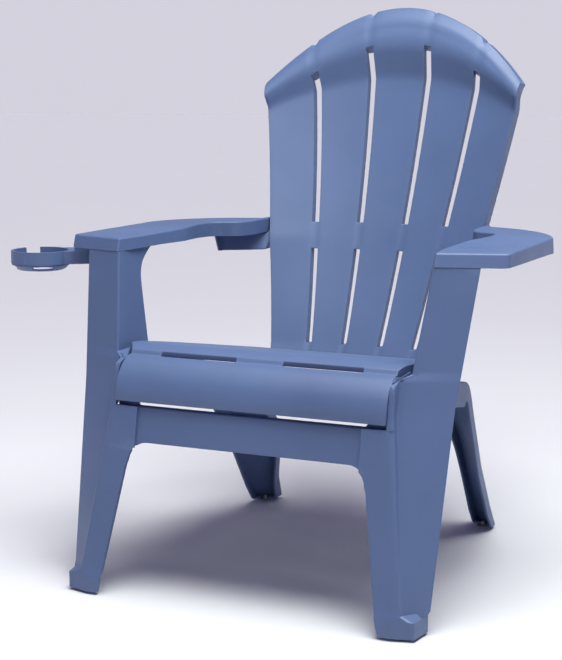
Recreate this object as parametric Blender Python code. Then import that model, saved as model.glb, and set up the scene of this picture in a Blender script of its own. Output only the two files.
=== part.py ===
"""Adirondack chair: moulded resin pieces, their screws and a swing-out cup holder.

The chair faces -Y, +X is the sitter's left and +Z is up.  Lengths are metres.
Shapes are written about the chair's plane of symmetry, X = 0, and an empty then
moves everything so that the origin is under the middle of the whole object.
"""
import math

import bmesh
import bpy
from mathutils import Vector

# ---------------------------------------------------------------- driving dimensions
WALL = 0.004            # thickness of every moulded wall
FIT = 0.0004            # gap between two pieces that touch
SYMMETRY_X = 0.0609     # where the plane of symmetry lies in the finished frame
DEPTH_Y = -0.3802       # moves the middle of the depth to the origin

ARM_TOP = 0.554         # height of the armrests
ARM_SKIRT = 0.0208      # depth of the wall around an armrest
ARM_OUTER_X = 0.3745    # half the width over the armrests
ARM_REAR_SKIRT = 0.0264  # it is deeper over the back rail
ARM_DRAFT = 0.002
ARM_FRONT_LEAN = 0.0058  # the skirt carries on the slope of the post below it

SEAT_CREST_Y = 0.143    # the seat slopes down to the back behind this line
SEAT_CREST_Z = 0.387
SEAT_FALL = 0.185       # slope of the seat
SEAT_SKIRT = 0.029
SLAT_PITCH = 0.095      # seat slats, front to back
SLOT_INNER_X = 0.040    # both drain slots of a groove run between these
SLOT_OUTER_X = 0.172
SEAT_REAR_X = 0.195     # half the width of the seat at the back
ROLL_END_X = 0.2270     # half the width of the front roll

FAN_APEX_Z = -0.52      # the grooves of the back all point to this height at X = 0
GROOVES = (-0.1195, -0.0415, 0.0415, 0.1195)
BAND_LOW_Z = 0.498      # the back's solid band lies between these heights
BAND_HIGH_Z = 0.546
SLOT_BOTTOM_Z = 0.331
SLOT_TOP_Z = 0.8797     # of the slots nearest the middle
BACK_BOTTOM_Z = 0.290
BACK_TOP_Z = 0.945
CREASE_Z = 0.817        # lower edge of the headrest roll, on the middle line
FLANGE = 0.034          # depth of the wall around the back
SLOT_DEEP = 0.016       # depth of the walls around the slots of the back

APRON_LOW_Z = 0.243
APRON_HIGH_Z = 0.299
NUB_Z = 0.3722          # top of the wide lower part of a front leg
LEG_INNER_X = 0.2277    # inner edge of the leg's front, beside the seat's roll
LEDGE_Z = 0.358         # the lower part ends in a ledge that starts here
LEDGE_DEEP = 0.030
TOE_TOP_Z = 0.030       # top of the square toe under a front leg
POST_TOP_Z = 0.5312
TENON_TOP_Z = 0.5375

KNEE_Y = 0.372          # the rear leg turns down here
REAR_FOOT_Y = 0.597
REAR_GLIDE = (0.2195, 0.5895)
FOOT_GAP = 0.004        # each foot stands this high on its glide

PIVOT = (-0.332, 0.243)  # axis of the cup holder, under the right armrest
CUP_REACH = 0.137        # from the pivot to the middle of the ring
CUP_BEARING = 213        # degrees; the arm of the holder points out and a little forwards
RING_OUTER = 0.0505
RING_INNER = 0.0460
BAR_HALF = 0.033
HOLDER_TOP_Z = 0.5235
HOLDER_HEIGHT = 0.022

SCREW_R = 0.0022
HEAD_R = 0.0042
HEAD_H = 0.0026
SCREW_SIDES = 8


# ---------------------------------------------------------------- small tools
def lerp(a, b, t):
    return a + (b - a) * t


def ramp(value, start, end):
    return min(1.0, max(0.0, (value - start) / (end - start)))


def curve_through(knots, x):
    """Smooth curve through (x, y) knots, with level ends."""
    for (xa, ya), (xb, yb) in zip(knots, knots[1:]):
        if x <= xb:
            t = max(0.0, (x - xa) / (xb - xa))
            return lerp(ya, yb, t * t * (3.0 - 2.0 * t))
    return knots[-1][1]


def bezier(points, count):
    """Points on a cubic Bezier curve, both ends included."""
    a, b, c, d = (Vector(p) for p in points)
    out = []
    for i in range(count + 1):
        t = i / count
        s = 1.0 - t
        out.append(a * s ** 3 + b * (3 * s * s * t) + c * (3 * s * t * t) + d * t ** 3)
    return [tuple(p) for p in out]


def arc(cx, cy, radius, start, end, count):
    """Points on an arc, angles in degrees, both ends included."""
    steps = (math.radians(lerp(start, end, i / count)) for i in range(count + 1))
    return [(cx + radius * math.cos(a), cy + radius * math.sin(a)) for a in steps]


def resin(name, colour, roughness=0.45, metallic=0.0):
    material = bpy.data.materials.new(name)
    material.use_nodes = True
    shader = material.node_tree.nodes["Principled BSDF"]
    shader.inputs["Base Color"].default_value = (*colour, 1.0)
    shader.inputs["Roughness"].default_value = roughness
    shader.inputs["Metallic"].default_value = metallic
    return material


RESIN_BLUE = (0.130, 0.180, 0.420)
GLIDE_GREY = (0.350, 0.360, 0.380)
STEEL = (0.600, 0.600, 0.620)


def add_object(name, bm, colour, roughness=0.45, metallic=0.0):
    mesh = bpy.data.meshes.new(name)
    bm.to_mesh(mesh)
    bm.free()
    mesh.materials.append(resin(name, colour, roughness, metallic))
    mesh.shade_smooth()
    mesh.set_sharp_from_angle(angle=math.radians(30))
    obj = bpy.data.objects.new(name, mesh)
    bpy.context.scene.collection.objects.link(obj)
    obj.parent = frame_empty
    return obj


def face_out(bm, direction):
    """Makes the normals agree and point, on the whole, along a direction."""
    bmesh.ops.recalc_face_normals(bm, faces=bm.faces)
    total = sum((f.normal * f.calc_area() for f in bm.faces), Vector())
    if total.dot(Vector(direction)) < 0.0:
        bmesh.ops.reverse_faces(bm, faces=bm.faces)


def sheet(rows, is_open=None):
    """Quads through rows of points; is_open(row, column) leaves a cell out."""
    bm = bmesh.new()
    grid = [[bm.verts.new(p) for p in row] for row in rows]
    for r in range(len(rows) - 1):
        for c in range(len(rows[r]) - 1):
            if is_open and is_open(r, c):
                continue
            bm.faces.new((grid[r][c], grid[r][c + 1], grid[r + 1][c + 1], grid[r + 1][c]))
    return bm, grid


def turn_edge(bm, loop, shift):
    """Adds a wall behind a closed loop of vertices; shift(vertex) is its depth."""
    rim = [bm.verts.new(v.co + Vector(shift(v))) for v in loop]
    for i, vertex in enumerate(loop):
        j = (i + 1) % len(loop)
        bm.faces.new((vertex, loop[j], rim[j], rim[i]))


def drop_loose(bm):
    bmesh.ops.delete(bm, geom=[v for v in bm.verts if not v.link_faces], context="VERTS")


def thicken(obj, wall=WALL):
    """Gives a sheet its wall, behind the side that its normals face."""
    solidify = obj.modifiers.new("wall", "SOLIDIFY")
    solidify.thickness = wall
    solidify.offset = -1.0
    solidify.use_even_offset = True
    solidify.use_quality_normals = True


def mirror_x(bm):
    for v in bm.verts:
        v.co.x = -v.co.x
    bmesh.ops.reverse_faces(bm, faces=bm.faces)


def prism(outline, low, high):
    """Solid between two heights over a plan outline that runs anticlockwise."""
    bm = bmesh.new()
    base = [bm.verts.new((x, y, low)) for x, y in outline]
    top = [bm.verts.new((x, y, high)) for x, y in outline]
    bm.faces.new(list(reversed(base)))
    bm.faces.new(top)
    for i in range(len(outline)):
        j = (i + 1) % len(outline)
        bm.faces.new((base[i], base[j], top[j], top[i]))
    return bm


def turned(bm, profile, place, axis, sides=SCREW_SIDES):
    """Adds a closed turned solid; profile is (radius, height) from tip to head."""
    turn = Vector((0, 0, 1)).rotation_difference(Vector(axis)).to_matrix()
    rings = []
    for radius, height in profile:
        ring = []
        for i in range(sides):
            a = 2 * math.pi * i / sides
            local = Vector((radius * math.cos(a), radius * math.sin(a), height))
            ring.append(bm.verts.new(turn @ local + Vector(place)))
        rings.append(ring)
    for low, high in zip(rings, rings[1:]):
        for i in range(sides):
            j = (i + 1) % sides
            bm.faces.new((low[i], low[j], high[j], high[i]))
    bm.faces.new(list(reversed(rings[0])))
    bm.faces.new(rings[-1])


def helper(name, bm):
    """A cutter or a boss that a Boolean reads and that is not a piece itself."""
    mesh = bpy.data.meshes.new(name)
    bm.to_mesh(mesh)
    bm.free()
    obj = bpy.data.objects.new(name, mesh)
    bpy.context.scene.collection.objects.link(obj)
    obj.parent = frame_empty
    obj.hide_render = True
    obj.display_type = "WIRE"
    return obj


def boolean(obj, operand, operation):
    modifier = obj.modifiers.new(operand.name, "BOOLEAN")
    modifier.operation = operation
    modifier.object = operand


# ---------------------------------------------------------------- the back
def back_half_width(z):
    return 0.171 + 0.163 * (z - 0.322)


def back_y(x, z):
    """Front surface of the back: leaning, dished between its sides, rolled at the top."""
    lean = 0.531 + 0.406 * (z - 0.33) + 0.336 * (z - 0.33) * (0.80 - z)
    sag = lerp(0.020, 0.052, ramp(z, 0.33, 0.52)) + 0.006 * ramp(z, 0.52, 0.80)
    y = lean - sag * (x / back_half_width(min(z, 0.80))) ** 2
    crease = CREASE_Z - x * x
    top = back_top(x)
    q = (z - crease) / (top - crease)
    if q > 0.0:
        height = 0.010 + 0.014 * (top - crease) / (BACK_TOP_Z - CREASE_Z)
        if q < 0.42:
            y -= height * 0.95 * q / 0.42
        else:
            y -= height * curve_through(((0.42, 0.95), (0.55, 1.0), (0.80, 0.80), (1.0, 0.10)), q)
    return y


def back_top(x):
    return BACK_TOP_Z - 2.25 * x * x


def back_normal(x, z):
    """Direction that the front of the back faces at a point."""
    step = 0.001
    across = (back_y(x + step, z) - back_y(x - step, z)) / (2 * step)
    upward = (back_y(x, z + step) - back_y(x, z - step)) / (2 * step)
    return Vector((across, -1.0, upward)).normalized()


def on_row(target_x, centre_z, bow):
    """Point of a row that bows down to the sides, at the X that target_x(z) asks for."""
    z = centre_z
    for _ in range(12):
        x = target_x(z)
        z = centre_z - bow * x * x
    return x, z


BACK_ROWS = (BACK_BOTTOM_Z, SLOT_BOTTOM_Z, 0.390, 0.445, BAND_LOW_Z, 0.503, 0.541, BAND_HIGH_Z,
             0.620, 0.700, 0.765, 0.810, 0.840, SLOT_TOP_Z, 0.900, 0.922, 0.937, BACK_TOP_Z)
LOW_SLOT = (1, 4)
HIGH_SLOT = (7, 13)
SEGMENTS = 3            # facets across each slat


def row_bow(z):
    if z <= BAND_HIGH_Z:
        return 0.0
    slot_top = BACK_ROWS[HIGH_SLOT[1]]
    if z <= slot_top:
        return 2.15 * (z - BAND_HIGH_Z) / (slot_top - BAND_HIGH_Z)
    return lerp(2.15, 2.25, ramp(z, slot_top, BACK_TOP_Z))


def slot_half(z):
    return lerp(0.0052, 0.0072, ramp(z, 0.33, 0.82))


def back_columns():
    """Each column as (function giving X at a height, is the middle of a groove)."""
    def groove(slope, side):
        return lambda z: slope * (z - FAN_APEX_Z) + side * slot_half(z)

    edges = [lambda z: -back_half_width(z)]
    for slope in GROOVES:
        edges += [groove(slope, -1), groove(slope, 1)]
    edges.append(back_half_width)
    columns = []
    for slat in range(len(GROOVES) + 1):
        left, right = edges[2 * slat], edges[2 * slat + 1]
        for i in range(SEGMENTS + 1):
            share = i / SEGMENTS
            columns.append((lambda z, a=left, b=right, s=share: lerp(a(z), b(z), s), False))
        if slat < len(GROOVES):
            columns.append((groove(GROOVES[slat], 0), True))
    return columns


def make_back_panel():
    columns = back_columns()
    rows = []
    for r, centre_z in enumerate(BACK_ROWS):
        row = []
        for target_x, is_groove in columns:
            x, z = on_row(target_x, centre_z, row_bow(centre_z))
            y = back_y(x, z)
            if is_groove:
                y += 0.003
                z -= 0.005 if centre_z == BACK_TOP_Z else 0.0
            row.append((x, y, z))
        rows.append(row)
    middles = [c for c, column in enumerate(columns) if column[1]]

    def is_open(r, c):
        beside = c in middles or c + 1 in middles
        return beside and (LOW_SLOT[0] <= r < LOW_SLOT[1] or HIGH_SLOT[0] <= r < HIGH_SLOT[1])

    bm, grid = sheet(rows, is_open)

    for first, last in (LOW_SLOT, HIGH_SLOT):
        for c in middles:
            left = [grid[r][c - 1] for r in range(first, last + 1)]
            right = [grid[r][c + 1] for r in range(last, first - 1, -1)]
            top_row = set((grid[last][c - 1], grid[last][c], grid[last][c + 1]))
            deep_top = last == HIGH_SLOT[1]

            def slot_wall(v, top_row=top_row, deep_top=deep_top):
                if deep_top and v in top_row:
                    return 0.0, 0.026, -0.010
                return 0.0, SLOT_DEEP, -0.001

            turn_edge(bm, left + [grid[last][c]] + right + [grid[first][c]], slot_wall)

    last_row = len(BACK_ROWS) - 1
    loop = [grid[r][0] for r in range(last_row)] + grid[last_row]
    loop += [grid[r][-1] for r in range(last_row - 1, -1, -1)] + grid[0][-2:0:-1]
    bottom = set(grid[0])
    notch = {grid[r][c] for r in (5, 6) for c in (0, -1)}

    def outer_wall(v):
        if v in bottom:
            return 0.0, 0.012, -0.002
        if v in notch:
            return 0.0, 0.006, 0.0
        return 0.0, FLANGE, -0.004

    turn_edge(bm, loop, outer_wall)
    drop_loose(bm)
    face_out(bm, (0, -1, 0.2))
    obj = add_object("back_panel", bm, RESIN_BLUE)
    thicken(obj)
    return obj


# ---------------------------------------------------------------- the seat
def seat_z(y):
    """Height of the seat behind its front groove."""
    behind = max(0.0, y - 0.112)
    return SEAT_CREST_Z - SEAT_FALL * behind * behind / (behind + 0.030) \
        - 0.0095 * (max(0.0, 0.112 - y) / 0.028) ** 2


ROLL_PROFILE = ((0.0330, 0.3068), (0.0325, 0.3180), (0.0360, 0.3330), (0.0430, 0.3480),
                (0.0550, 0.3620), (0.0680, 0.3710))
FRONT_GROOVE_Y = 0.084
GROOVE_HALF = 0.0045
GROOVE_DEEP = 0.0028
SEAT_GROOVES = tuple(FRONT_GROOVE_Y + SLAT_PITCH * i for i in range(5))


def seat_rows():
    """Profile points (y, z) with a tag for the middle line of a groove."""
    rows = [(y, z, False) for y, z in ROLL_PROFILE]
    for i, groove in enumerate(SEAT_GROOVES):
        for side in (-1, 0, 1):
            y = groove + side * GROOVE_HALF
            rows.append((y, seat_z(y) - (GROOVE_DEEP if side == 0 else 0.0), side == 0))
        middle = groove + SLAT_PITCH * 0.5
        if i == 0:
            rows.append((SEAT_CREST_Y - 0.025, seat_z(SEAT_CREST_Y - 0.025), False))
            rows.append((SEAT_CREST_Y, seat_z(SEAT_CREST_Y), False))
        elif i < len(SEAT_GROOVES) - 1:
            rows.append((middle, seat_z(middle), False))
    return rows


def seat_half_width(y):
    if y < 0.090:
        return ROLL_END_X
    return lerp(lerp(ROLL_END_X, 0.2430, ramp(y, 0.090, 0.116)), SEAT_REAR_X, ramp(y, 0.190, 0.509))


def seat_rear_y(x):
    """The seat's rear edge follows the dished face of the back."""
    reach = min(abs(x), back_half_width(0.315))
    y = back_y(reach, 0.315)
    for _ in range(4):
        y = back_y(reach, seat_z(y)) - 0.0010
    return y


def make_seat_panel():
    profile = seat_rows()
    rows = []
    for y, z, _ in profile:
        half = seat_half_width(y)
        across = (SLOT_INNER_X, 0.106, SLOT_OUTER_X, half)
        xs = [-x for x in reversed(across)] + [0.0] + list(across)
        rows.append([(x, y, z) for x in xs])
    xs = [p[0] for p in rows[-1]]
    rows.append([(x, seat_rear_y(x), seat_z(seat_rear_y(x))) for x in xs])
    middle_rows = [r for r, row in enumerate(profile) if row[2]]
    slot_columns = (1, 2, 5, 6)

    def is_open(r, c):
        return c in slot_columns and (r in middle_rows or r + 1 in middle_rows)

    bm, grid = sheet(rows, is_open)
    for r in middle_rows:
        for start in (slot_columns[0], slot_columns[2]):
            front = [grid[r - 1][c] for c in range(start, start + 3)]
            rear = [grid[r + 1][c] for c in range(start + 2, start - 1, -1)]
            loop = front + [grid[r][start + 2]] + rear + [grid[r][start]]
            turn_edge(bm, loop, lambda v: (0.0, 0.0, -0.008))

    last = len(rows) - 1
    loop = grid[0] + [grid[r][-1] for r in range(1, last)] + grid[last][::-1]
    loop += [grid[r][0] for r in range(last - 1, 0, -1)]
    front_lip = set(grid[0])
    rear_row = set(grid[last])

    def outer_wall(v):
        if v in front_lip:
            return 0.0, 0.010, 0.002
        if v in rear_row:
            return 0.0, -0.0150, -0.025
        if v.co.y < FRONT_GROOVE_Y - 2 * GROOVE_HALF:
            inward = ramp(v.co.z, 0.340, 0.372)
            return 0.0, 0.011 * (1.0 - inward), -0.010 * inward
        level = seat_z(v.co.y) - v.co.z
        return 0.0, 0.0, level + lerp(-0.012, -SEAT_SKIRT, ramp(v.co.y, 0.088, 0.115))

    turn_edge(bm, loop, outer_wall)
    face_out(bm, (0, -0.3, 1))
    obj = add_object("seat_panel", bm, RESIN_BLUE)
    thicken(obj)
    return obj


# ---------------------------------------------------------------- the front apron
APRON_LEAN = 0.2
APRON_BEHIND = WALL + FIT + 0.0001
WEB_END_X = 0.2298
APRON_SLOT_X = (0.029, 0.193)  # both slots above the apron run between these


def leg_front_y(z):
    """Front face of the front legs and, a wall behind it, of the apron."""
    return -0.0245 + APRON_LEAN * z


def make_front_apron():
    tab_x = 0.2235
    fillet = 0.030
    centre_x = 0.170
    slot_inner, slot_outer = APRON_SLOT_X
    xs = [tab_x, 0.207, slot_outer, 0.181, centre_x, 0.100, slot_inner]
    xs = [-x for x in xs] + [0.0] + xs[::-1]

    def low_z(x):
        past = min(fillet * 0.98, max(0.0, abs(x) - centre_x))
        return APRON_LOW_Z - fillet + math.sqrt(fillet ** 2 - past ** 2)

    def point(x, z, back=0.0):
        return x, leg_front_y(z) + APRON_BEHIND + back, z

    def reach(x):
        """The web above the apron is a little wider, up to the legs."""
        return math.copysign(WEB_END_X, x) if abs(x) == tab_x else x

    rows = [
        [point(x, max(low_z(x), 0.237) + 0.001, 0.016) for x in xs],
        [point(x, max(low_z(x), 0.237)) for x in xs],
        [point(x, 0.270) for x in xs],
        [point(x, APRON_HIGH_Z) for x in xs],
        [point(reach(x), APRON_HIGH_Z + 0.0005, 0.009) for x in xs],
        [point(reach(x), 0.3175, 0.009) for x in xs],
    ]
    web_row = len(rows) - 2

    def is_open(r, c):
        left, right = abs(xs[c]), abs(xs[c + 1])
        inside_slot = max(left, right) <= slot_outer and min(left, right) >= slot_inner
        return r == web_row and inside_slot

    bm, _ = sheet(rows, is_open)
    drop_loose(bm)
    face_out(bm, (0, -1, 0))
    obj = add_object("front_apron", bm, RESIN_BLUE)
    thicken(obj)
    return obj


# ---------------------------------------------------------------- the front legs
def outer_corner(z):
    """Rear outer corner of a front leg in plan."""
    x = 0.3013 + 0.042 * z + 0.055 * max(0.0, z - 0.33)
    return x, 0.0180 + 0.2200 * z + 0.03 * max(0.0, z - 0.33)


def lower_leg(z):
    """Plan of the lower leg: side wall, front flange, rounded corner, outer flange."""
    front = leg_front_y(z) + LEDGE_DEEP * ramp(z, LEDGE_Z, NUB_Z) ** 3
    if z < 0.2130:
        inner = 0.236 - 0.161 * z
    elif z < APRON_HIGH_Z + FIT:
        inner = 0.170 + math.sqrt(max(0.0, 0.030 ** 2 - min(z - 0.213, 0.0235) ** 2))
    else:
        inner = LEG_INNER_X
    if z < APRON_HIGH_Z + FIT:
        wall = [(inner + 0.0006, front + 0.009), (inner + 0.0003, front + 0.0075),
                (inner, front + 0.006)]
    else:
        wall = [(0.2437, 0.185), (0.2437, front + 0.045), (inner, front + 0.006)]
    bend_x = max(inner + 0.006, 0.262 - 0.13 * z)
    corner = (max(0.2765 - 0.115 * z, bend_x + 0.006), leg_front_y(z) + 0.008 + 0.04 * z)
    outer = outer_corner(z)
    pull = Vector((corner[0] - 0.004, front + 0.001))
    start, end = Vector((bend_x, front)), Vector(corner)
    rounding = [start.lerp(pull, 0.55).lerp(pull.lerp(end, 0.12), 0.3),
                start.lerp(pull, 0.9).lerp(pull.lerp(end, 0.45), 0.6)]
    middle = end.lerp(Vector(outer), 0.5)
    back = (outer[0] - 0.005, outer[1] + 0.016)
    plan = wall + [(inner, front), (bend_x, front)] + [tuple(p) for p in rounding]
    return plan + [corner, tuple(middle), outer, back]


def toe(z):
    """Plan of the square toe under a front leg."""
    inner = lerp(0.2370, 0.2320, z / TOE_TOP_Z)
    wall = [(inner + 0.0006, -0.0125), (inner + 0.0003, -0.0140), (inner, -0.0155)]
    front = [(inner, -0.0215), (0.2540, -0.0215), (0.268, -0.0185), (0.282, -0.0148)]
    side = [(0.2920, -0.0115), (0.2955, 0.010), (0.2985, 0.0290), (0.2900, 0.0430)]
    return wall + front + side


def post(z, inset=0.0):
    """Plan of the arm post above the seat."""
    face_x = 0.2514 + 0.115 * (z - 0.40) + inset
    front = 0.0875 + 0.25 * (z - 0.40) + inset
    rear = 0.1815 + 0.0460 * ramp(z, 0.455, POST_TOP_Z) ** 4
    wall = [(face_x, lerp(rear, front, t)) for t in (0.0, 0.3, 0.6)]
    outer = outer_corner(z)
    outer = (outer[0] - inset, outer[1] + inset)
    flange = (Vector(outer) - Vector((face_x, front))).normalized()
    corner = Vector((face_x, front)) + flange * 0.014
    bend = Vector((face_x, front + 0.014))
    tip = Vector((face_x, front))
    rounding = [bend.lerp(tip, 0.6).lerp(tip.lerp(corner, 0.1), 0.35),
                bend.lerp(tip, 0.9).lerp(tip.lerp(corner, 0.4), 0.65)]
    middle = corner.lerp(Vector(outer), 0.5)
    back = (outer[0] - 0.005, outer[1] + 0.016)
    plan = wall + [(face_x, front + 0.024), tuple(bend)] + [tuple(p) for p in rounding]
    return plan + [tuple(corner), tuple(middle), outer, back]


def folded(plan, centre, share):
    """A plan drawn in towards a centre, for the flange that closes an end."""
    return [(lerp(x, centre[0], share), lerp(y, centre[1], share)) for x, y in plan]


POST_CENTRE = (0.2960, 0.1660)
TOE_CENTRE = (0.2680, 0.0060)


def make_front_leg(name, mirrored):
    levels = [(FOOT_GAP, folded(toe(0), TOE_CENTRE, 0.62)), (FOOT_GAP, toe(0))]
    levels += [(TOE_TOP_Z, toe(TOE_TOP_Z)), (0.037, lower_leg(0.037))]
    levels += [(z, lower_leg(z)) for z in (0.10, 0.16, 0.205, 0.220, 0.230)]
    apron_start = len(levels)
    levels.append((0.236, lower_leg(0.236)))
    levels += [(z, lower_leg(z)) for z in (APRON_HIGH_Z, APRON_HIGH_Z + 2 * FIT)]
    side_wall = len(levels) - 1
    levels += [(z, lower_leg(z)) for z in (0.330, LEDGE_Z, 0.364, 0.3695)]
    levels += [(z, post(z)) for z in (0.3765, 0.41, 0.45, 0.485, 0.510, POST_TOP_Z)]
    tenon = 0.0080
    levels += [(POST_TOP_Z + 0.0003, post(POST_TOP_Z, tenon))]
    levels += [(TENON_TOP_Z, post(POST_TOP_Z, tenon))]
    levels += [(TENON_TOP_Z, folded(post(POST_TOP_Z, tenon), POST_CENTRE, 0.80))]
    rows = [[(x, y, z) for x, y in plan] for z, plan in levels]

    def is_open(r, c):
        return c < 3 and apron_start - 1 <= r < side_wall

    bm, _ = sheet(rows, is_open)
    drop_loose(bm)
    face_out(bm, (0, -1, 0))
    if mirrored:
        mirror_x(bm)
    obj = add_object(name, bm, RESIN_BLUE)
    thicken(obj)
    return obj


# ---------------------------------------------------------------- the rear legs
def stringer_top_z(y):
    return seat_z(y) - SEAT_SKIRT - 3 * FIT


REAR_LEG_INNER_X = 0.195
STRINGER_START_Y = 0.126
STRINGER_JOINT_Y = 0.192
STRETCHER_Y = 0.304


def rear_leg_path():
    """Points (y, z) down the top and rear of a rear leg, from the seat to the floor."""
    path = [(y, stringer_top_z(y)) for y in (STRINGER_START_Y, STRINGER_JOINT_Y, 0.26, 0.335)]
    bend = bezier(((0.352, stringer_top_z(0.352)), (0.385, stringer_top_z(0.380)),
                   (0.398, 0.283), (0.418, 0.252)), 4)
    path += bend
    for z in (0.200, 0.150, 0.100, 0.050):
        path.append((lerp(0.418, REAR_FOOT_Y, (0.252 - z) / 0.252), z))
    return path


def make_rear_leg(name, mirrored):
    path = rear_leg_path()
    rows = []
    for i, (y, z) in enumerate(path):
        before = path[max(0, i - 1)]
        after = path[min(len(path) - 1, i + 1)]
        along = Vector((after[0] - before[0], after[1] - before[1])).normalized()
        into = Vector((along.y, -along.x))
        drop = ramp(-along.y, 0.3, 0.8)
        outer_x = lerp(0.2522, 0.2405, ramp(y, KNEE_Y, 0.500))
        outer_deep = lerp(0.042, 0.022, drop)
        inner_deep = lerp(0.040, 0.028, drop)
        inner_x = curve_through(((0.0, 0.198), (0.180, 0.178), (0.312, REAR_LEG_INNER_X)), z)
        twist = curve_through(((0.0, 0.027), (0.170, 0.085), (0.312, 0.0)), z)
        corner = Vector((y, z))
        outer = corner + into * outer_deep
        inner = corner + into * inner_deep
        rows.append([
            (outer_x, outer.x, outer.y),
            (outer_x, y, z),
            (lerp(outer_x, inner_x, 0.5), y + twist * 0.5, z),
            (inner_x, y + twist, z),
            (inner_x, inner.x + twist, inner.y),
        ])
    foot = [(0.2415, REAR_FOOT_Y - 0.024), (0.2415, REAR_FOOT_Y), (0.2200, REAR_FOOT_Y + 0.0135),
            (0.198, REAR_FOOT_Y + 0.027), (0.198, REAR_FOOT_Y - 0.003)]
    rows.append([(x, y, FOOT_GAP) for x, y in foot])
    rows.append([(x, y, FOOT_GAP) for x, y in folded(foot, REAR_GLIDE, 0.62)])

    def is_open(r, c):
        return r == 0 and c >= 1

    bm, _ = sheet(rows, is_open)
    drop_loose(bm)
    face_out(bm, (0, 1, 0.8))
    if mirrored:
        mirror_x(bm)
    obj = add_object(name, bm, RESIN_BLUE)
    thicken(obj)
    return obj


def make_rear_stretcher():
    half = REAR_LEG_INNER_X - FIT - 0.0002
    front_y, low_z, high_z = STRETCHER_Y, 0.286, 0.311
    rear_y = front_y + 0.026
    section = ((rear_y, low_z), (front_y, low_z), (front_y, high_z), (rear_y, high_z - 0.003))
    inner = half - 0.022
    xs = (-half, -inner, 0.0, inner, half)
    rows = [[(x, y, z) for x in xs] for y, z in section]
    bm, grid = sheet(rows)
    for side in (0, -1):
        end = [grid[r][side] for r in range(4)]
        bm.faces.new(end)
    face_out(bm, (0, -1, 0))
    obj = add_object("rear_stretcher", bm, RESIN_BLUE)
    thicken(obj)
    return obj


# ---------------------------------------------------------------- armrests and back rail
ARM_FRONT_Y = 0.169      # vertices ahead of this line belong to the front end


def arm_outline():
    """Plan of the left armrest's top, anticlockwise from its inner front corner."""
    front = [(0.2685, 0.1255)] + arc(0.3645, 0.1655, 0.010, -75, 0, 3)
    outer = bezier(((ARM_OUTER_X, 0.420), (0.362, 0.480), (0.318, 0.548), (0.2260, 0.5725)), 7)
    tab = [(0.2185, 0.5750), (0.2185, 0.6000), (0.2110, 0.6000)]
    corner = bezier(((0.2110, 0.555), (0.2110, 0.478), (0.225, 0.478), (0.2500, 0.468)), 3)
    recess = bezier(((0.2500, 0.468), (0.278, 0.458), (0.274, 0.410), (0.2600, 0.335)), 5)
    return front + outer + tab + corner + recess[1:] + [(0.2592, 0.250), (0.2620, 0.170)]


def make_armrest(name, mirrored):
    outline = arm_outline()
    bm = bmesh.new()
    top = [bm.verts.new((x, y, ARM_TOP)) for x, y in outline]
    bm.faces.new(top)
    middle = Vector((0.315, 0.33, 0.0))
    panel_side = 0.2115

    def skirt(v):
        deep = lerp(ARM_SKIRT, ARM_REAR_SKIRT, ramp(v.co.y, 0.25, 0.45))
        if v.co.x < panel_side:
            return 0.0, 0.0, -deep
        away = (Vector((v.co.x, v.co.y, 0.0)) - middle).normalized() * ARM_DRAFT
        if v.co.y < ARM_FRONT_Y:
            away.y = -ARM_FRONT_LEAN
        return away.x, away.y, -deep

    turn_edge(bm, top, skirt)
    face_out(bm, (0, 0, 1))
    if mirrored:
        mirror_x(bm)
    obj = add_object(name, bm, RESIN_BLUE)
    thicken(obj)
    return obj


RAIL_END_X = 0.292
RAIL_SHELF_Z = ARM_TOP - ARM_REAR_SKIRT - 3 * FIT
RAIL_LOW_Z = 0.4948
RAIL_STAND_OFF = 0.0086  # from the front of the back panel to the front of the rail
RAIL_STEP_X = (0.2075, 0.2103)
RAIL_DEPTH = 0.022
RAIL_END_FORWARD = 0.010  # its ends stand this much further forwards, under the arms


def rail_point(x, level, back):
    """A point of the back rail; level 0 is its lower edge and 1 its upper edge."""
    outside = ramp(abs(x), RAIL_STEP_X[0], RAIL_STEP_X[1])
    low = lerp(0.5048, RAIL_LOW_Z, outside)
    high = lerp(0.5390, RAIL_SHELF_Z, outside)
    z = lerp(low, high, level)
    y = back_y(x, z) + RAIL_STAND_OFF - RAIL_END_FORWARD * ramp(abs(x), RAIL_STEP_X[1], 0.235)
    x *= lerp(1.0, 1.0 - 0.05 * (1.0 - level), ramp(abs(x), 0.275, RAIL_END_X))
    return x, y + back, z


def make_back_rail():
    xs = (0.040, 0.080, 0.120, 0.160, 0.190, *RAIL_STEP_X, 0.235, 0.262, RAIL_END_X)
    xs = [-x for x in reversed(xs)] + [0.0] + list(xs)
    rows = [
        [rail_point(x, 0.0, RAIL_DEPTH) for x in xs],
        [rail_point(x, 0.0, 0.0) for x in xs],
        [rail_point(x, 1.0, 0.0) for x in xs],
        [rail_point(x, 1.0, RAIL_DEPTH) for x in xs],
    ]
    bm, _ = sheet(rows)
    face_out(bm, (0, -1, 0))
    obj = add_object("back_rail", bm, RESIN_BLUE)
    thicken(obj)
    return obj


# ---------------------------------------------------------------- the cup holder
RING_CENTRE = (PIVOT[0] + CUP_REACH * math.cos(math.radians(CUP_BEARING)),
               PIVOT[1] + CUP_REACH * math.sin(math.radians(CUP_BEARING)))
MUG_GAP = (125, 155)    # degrees of the ring that are open for a mug's handle


def holder_outline():
    """Plan of the C-shaped ring with its bar and the round end at the pivot."""
    spread = math.degrees(math.asin(BAR_HALF / RING_OUTER))
    inward = CUP_BEARING - 180
    ring = arc(*RING_CENTRE, RING_OUTER, MUG_GAP[1], inward - spread + 360, 16)
    end = arc(*PIVOT, BAR_HALF, inward - 90, inward + 90, 8)
    rest = arc(*RING_CENTRE, RING_OUTER, inward + spread, MUG_GAP[0], 4)
    bore = arc(*RING_CENTRE, RING_INNER, MUG_GAP[0], MUG_GAP[1] - 360, 24)
    return ring + end + rest + bore


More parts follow.
